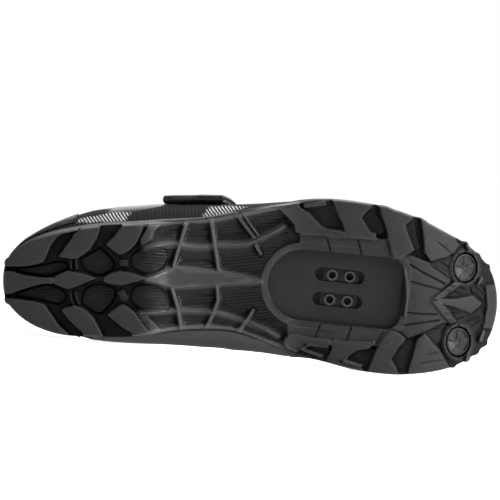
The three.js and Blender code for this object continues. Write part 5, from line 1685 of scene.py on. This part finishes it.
class SHOE_OT_outsole(bpy.types.Operator):
    """Moulded rubber sole with its lugs, ribs and grooves"""
    bl_idname = "shoe.outsole"
    bl_label = "Outsole"

    def execute(self, context):
        points, faces, masks = outsole_mesh()
        make_piece("outsole_rubber", points, faces, rubber_material(context.scene.shoe_looks), ["outsole"],
                   masks=masks, sharp=50)
        return {"FINISHED"}


class SHOE_OT_hardware(bpy.types.Operator):
    """Nylon plate, steel nut plate and the two stud plugs"""
    bl_idname = "shoe.hardware"
    bl_label = "Plate, nut plate and plugs"

    def execute(self, context):
        look = context.scene.shoe_looks
        nylon = moulded_material("moulded nylon", look.nylon, 0.38, 0.48, 0.35)
        softened_copy("midsole_plate", "nylon_plate", nylon, look.plate_edge)
        nuts = softened_copy("cleat_nut_plate", "steel_nut_plate", steel_material(look), look.nut_edge,
                             body="nut_plate")
        # Marks the bosses' top faces for the painted highlight.
        turned = SHOE.inverted()
        face = [float((turned @ v.co).z * 1000 < RECESS_HEIGHT + 0.75) for v in nuts.data.vertices]
        nuts.data.attributes.new("boss_top_highlight", "FLOAT", "POINT").data.foreach_set("value", face)
        finish = moulded_material("stud plug", look.plug, 0.40, 0.48, 0.4)
        for side in STUDS:
            points, faces, masks = stud_cap(side)
            make_piece(f"stud_cap_{side}", points, faces, finish, [f"stud_plug_{side}"], masks=masks)
        return {"FINISHED"}


class SHOE_OT_upper(bpy.types.Operator):
    """Upper with its panels, reflective hatching, padded collar and stitching"""
    bl_idname = "shoe.upper"
    bl_label = "Upper"

    def execute(self, context):
        look = context.scene.shoe_looks
        points, faces, masks, uv = upper_mesh()
        make_piece("upper_shell", points, faces, upper_material(look), ["upper"], masks=masks, uv=uv,
                   sharp=60)
        stitches("upper_stitching", seam_lines(), thread_material(look), length=look.stitch_length,
                 radius=look.stitch_radius, pitch=look.stitch_pitch)
        return {"FINISHED"}


class SHOE_OT_lining(bpy.types.Operator):
    """Padded tongue and removable insole"""
    bl_idname = "shoe.lining"
    bl_label = "Tongue and insole"

    def execute(self, context):
        def quilt(u, v, wide, tall):
            channels = np.exp(-((np.abs(2 * u - 1) - 0.55) / 0.05) ** 2) + np.exp(-((v - 0.86) / 0.012) ** 2)
            return -0.8 * np.clip(channels, 0, 1)

        look = context.scene.shoe_looks
        points, faces, uv = slab(tongue_surface, 60, 90, -7.3, -3.3, look.tongue_edge * 1000, quilt)
        tongue = make_piece("padded_tongue", points, faces, cloth_material("tongue mesh", look.tongue, 40.0),
                            ["tongue"], uv=uv)

        def bed(u, v):
            section = LAST * u
            share = 2 * v - 1
            side = np.where(share < 0, -1, 1)
            return deck_point(side, section, np.abs(share), WALL + 0.9)

        points, faces, uv = slab(bed, 150, 40, 0.6, 4.1, look.footbed_edge * 1000)
        footbed = make_piece("footbed", points, faces, cloth_material("footbed cloth", look.footbed, 60.0),
                             ["insole"], uv=uv)
        return {"FINISHED"}


class SHOE_OT_straps(bpy.types.Operator):
    """Heel counter and the two straps"""
    bl_idname = "shoe.straps"
    bl_label = "Counter and straps"

    def execute(self, context):
        look = context.scene.shoe_looks

        def thinned(u, v, wide, tall):
            return -1.0 * smooth((np.abs(2 * u - 1) - 0.55) / 0.4)

        points, faces, uv = slab(counter_surface, 80, 30, 0.3, 1.5, 0.6, thinned)
        finish = moulded_material("moulded counter", look.counter, 0.26, 0.34)
        make_piece("moulded_counter", points, faces, finish, ["heel_counter"], uv=uv)
        finish = moulded_material("coated strap", look.strap, 0.26, 0.38)

        def hem(u, v, wide, tall):
            inside = np.minimum(np.minimum(u, 1 - u) * wide, np.minimum(v, 1 - v) * tall)
            return -0.35 * np.exp(-((inside - 2.6) / 0.5) ** 2)

        straps = {"instep_strap": (34, -1.74, 1.32, 9.2, 1.4, 5.0, look.instep_edge * 1000),
                  "forefoot_strap": (24, -1.36, 1.4, 11.2, 0.0, 2.6, look.forefoot_edge * 1000)}
        for node, (width, start, stop, line, slant, thick, radius) in straps.items():
            surface = strap_surface(width, start, stop, line, slant)
            points, faces, uv = slab(surface, 120, 30, 0.6, 0.6 + thick, radius, hem)
            make_piece(node.replace("_strap", "_band"), points, faces, finish, [node], uv=uv)
        return {"FINISHED"}


class SHOE_OT_stage(bpy.types.Operator):
    """Pale floor, soft lights and the photograph's camera"""
    bl_idname = "shoe.stage"
    bl_label = "Stage"

    def execute(self, context):
        build_camera()
        build_stage(context.scene.shoe_looks)
        return {"FINISHED"}


STEPS = (SHOE_OT_stage, SHOE_OT_outsole, SHOE_OT_hardware, SHOE_OT_upper, SHOE_OT_lining, SHOE_OT_straps)


class SHOE_PT_sidebar(bpy.types.Panel):
    """Sizes, colours and building steps of the shoe"""
    bl_idname = "SHOE_PT_sidebar"
    bl_label = "Cycling shoe"
    bl_space_type = "VIEW_3D"
    bl_region_type = "UI"
    bl_category = "Shoe"

    def draw(self, context):
        column = self.layout.column()
        for name in ShoeLooks.__annotations__:
            column.prop(context.scene.shoe_looks, name)
        for step in STEPS:
            column.operator(step.bl_idname)


CLASSES = (ShoeLooks, *STEPS, SHOE_PT_sidebar)


def register():
    for cls in CLASSES:
        bpy.utils.register_class(cls)
    bpy.types.Scene.shoe_looks = bpy.props.PointerProperty(type=ShoeLooks)


def unregister():
    del bpy.types.Scene.shoe_looks
    for cls in reversed(CLASSES):
        bpy.utils.unregister_class(cls)


def main():
    register()
    for step in STEPS:
        getattr(bpy.ops.shoe, step.bl_idname.split(".")[1])()


if __name__ == "__main__":
    main()
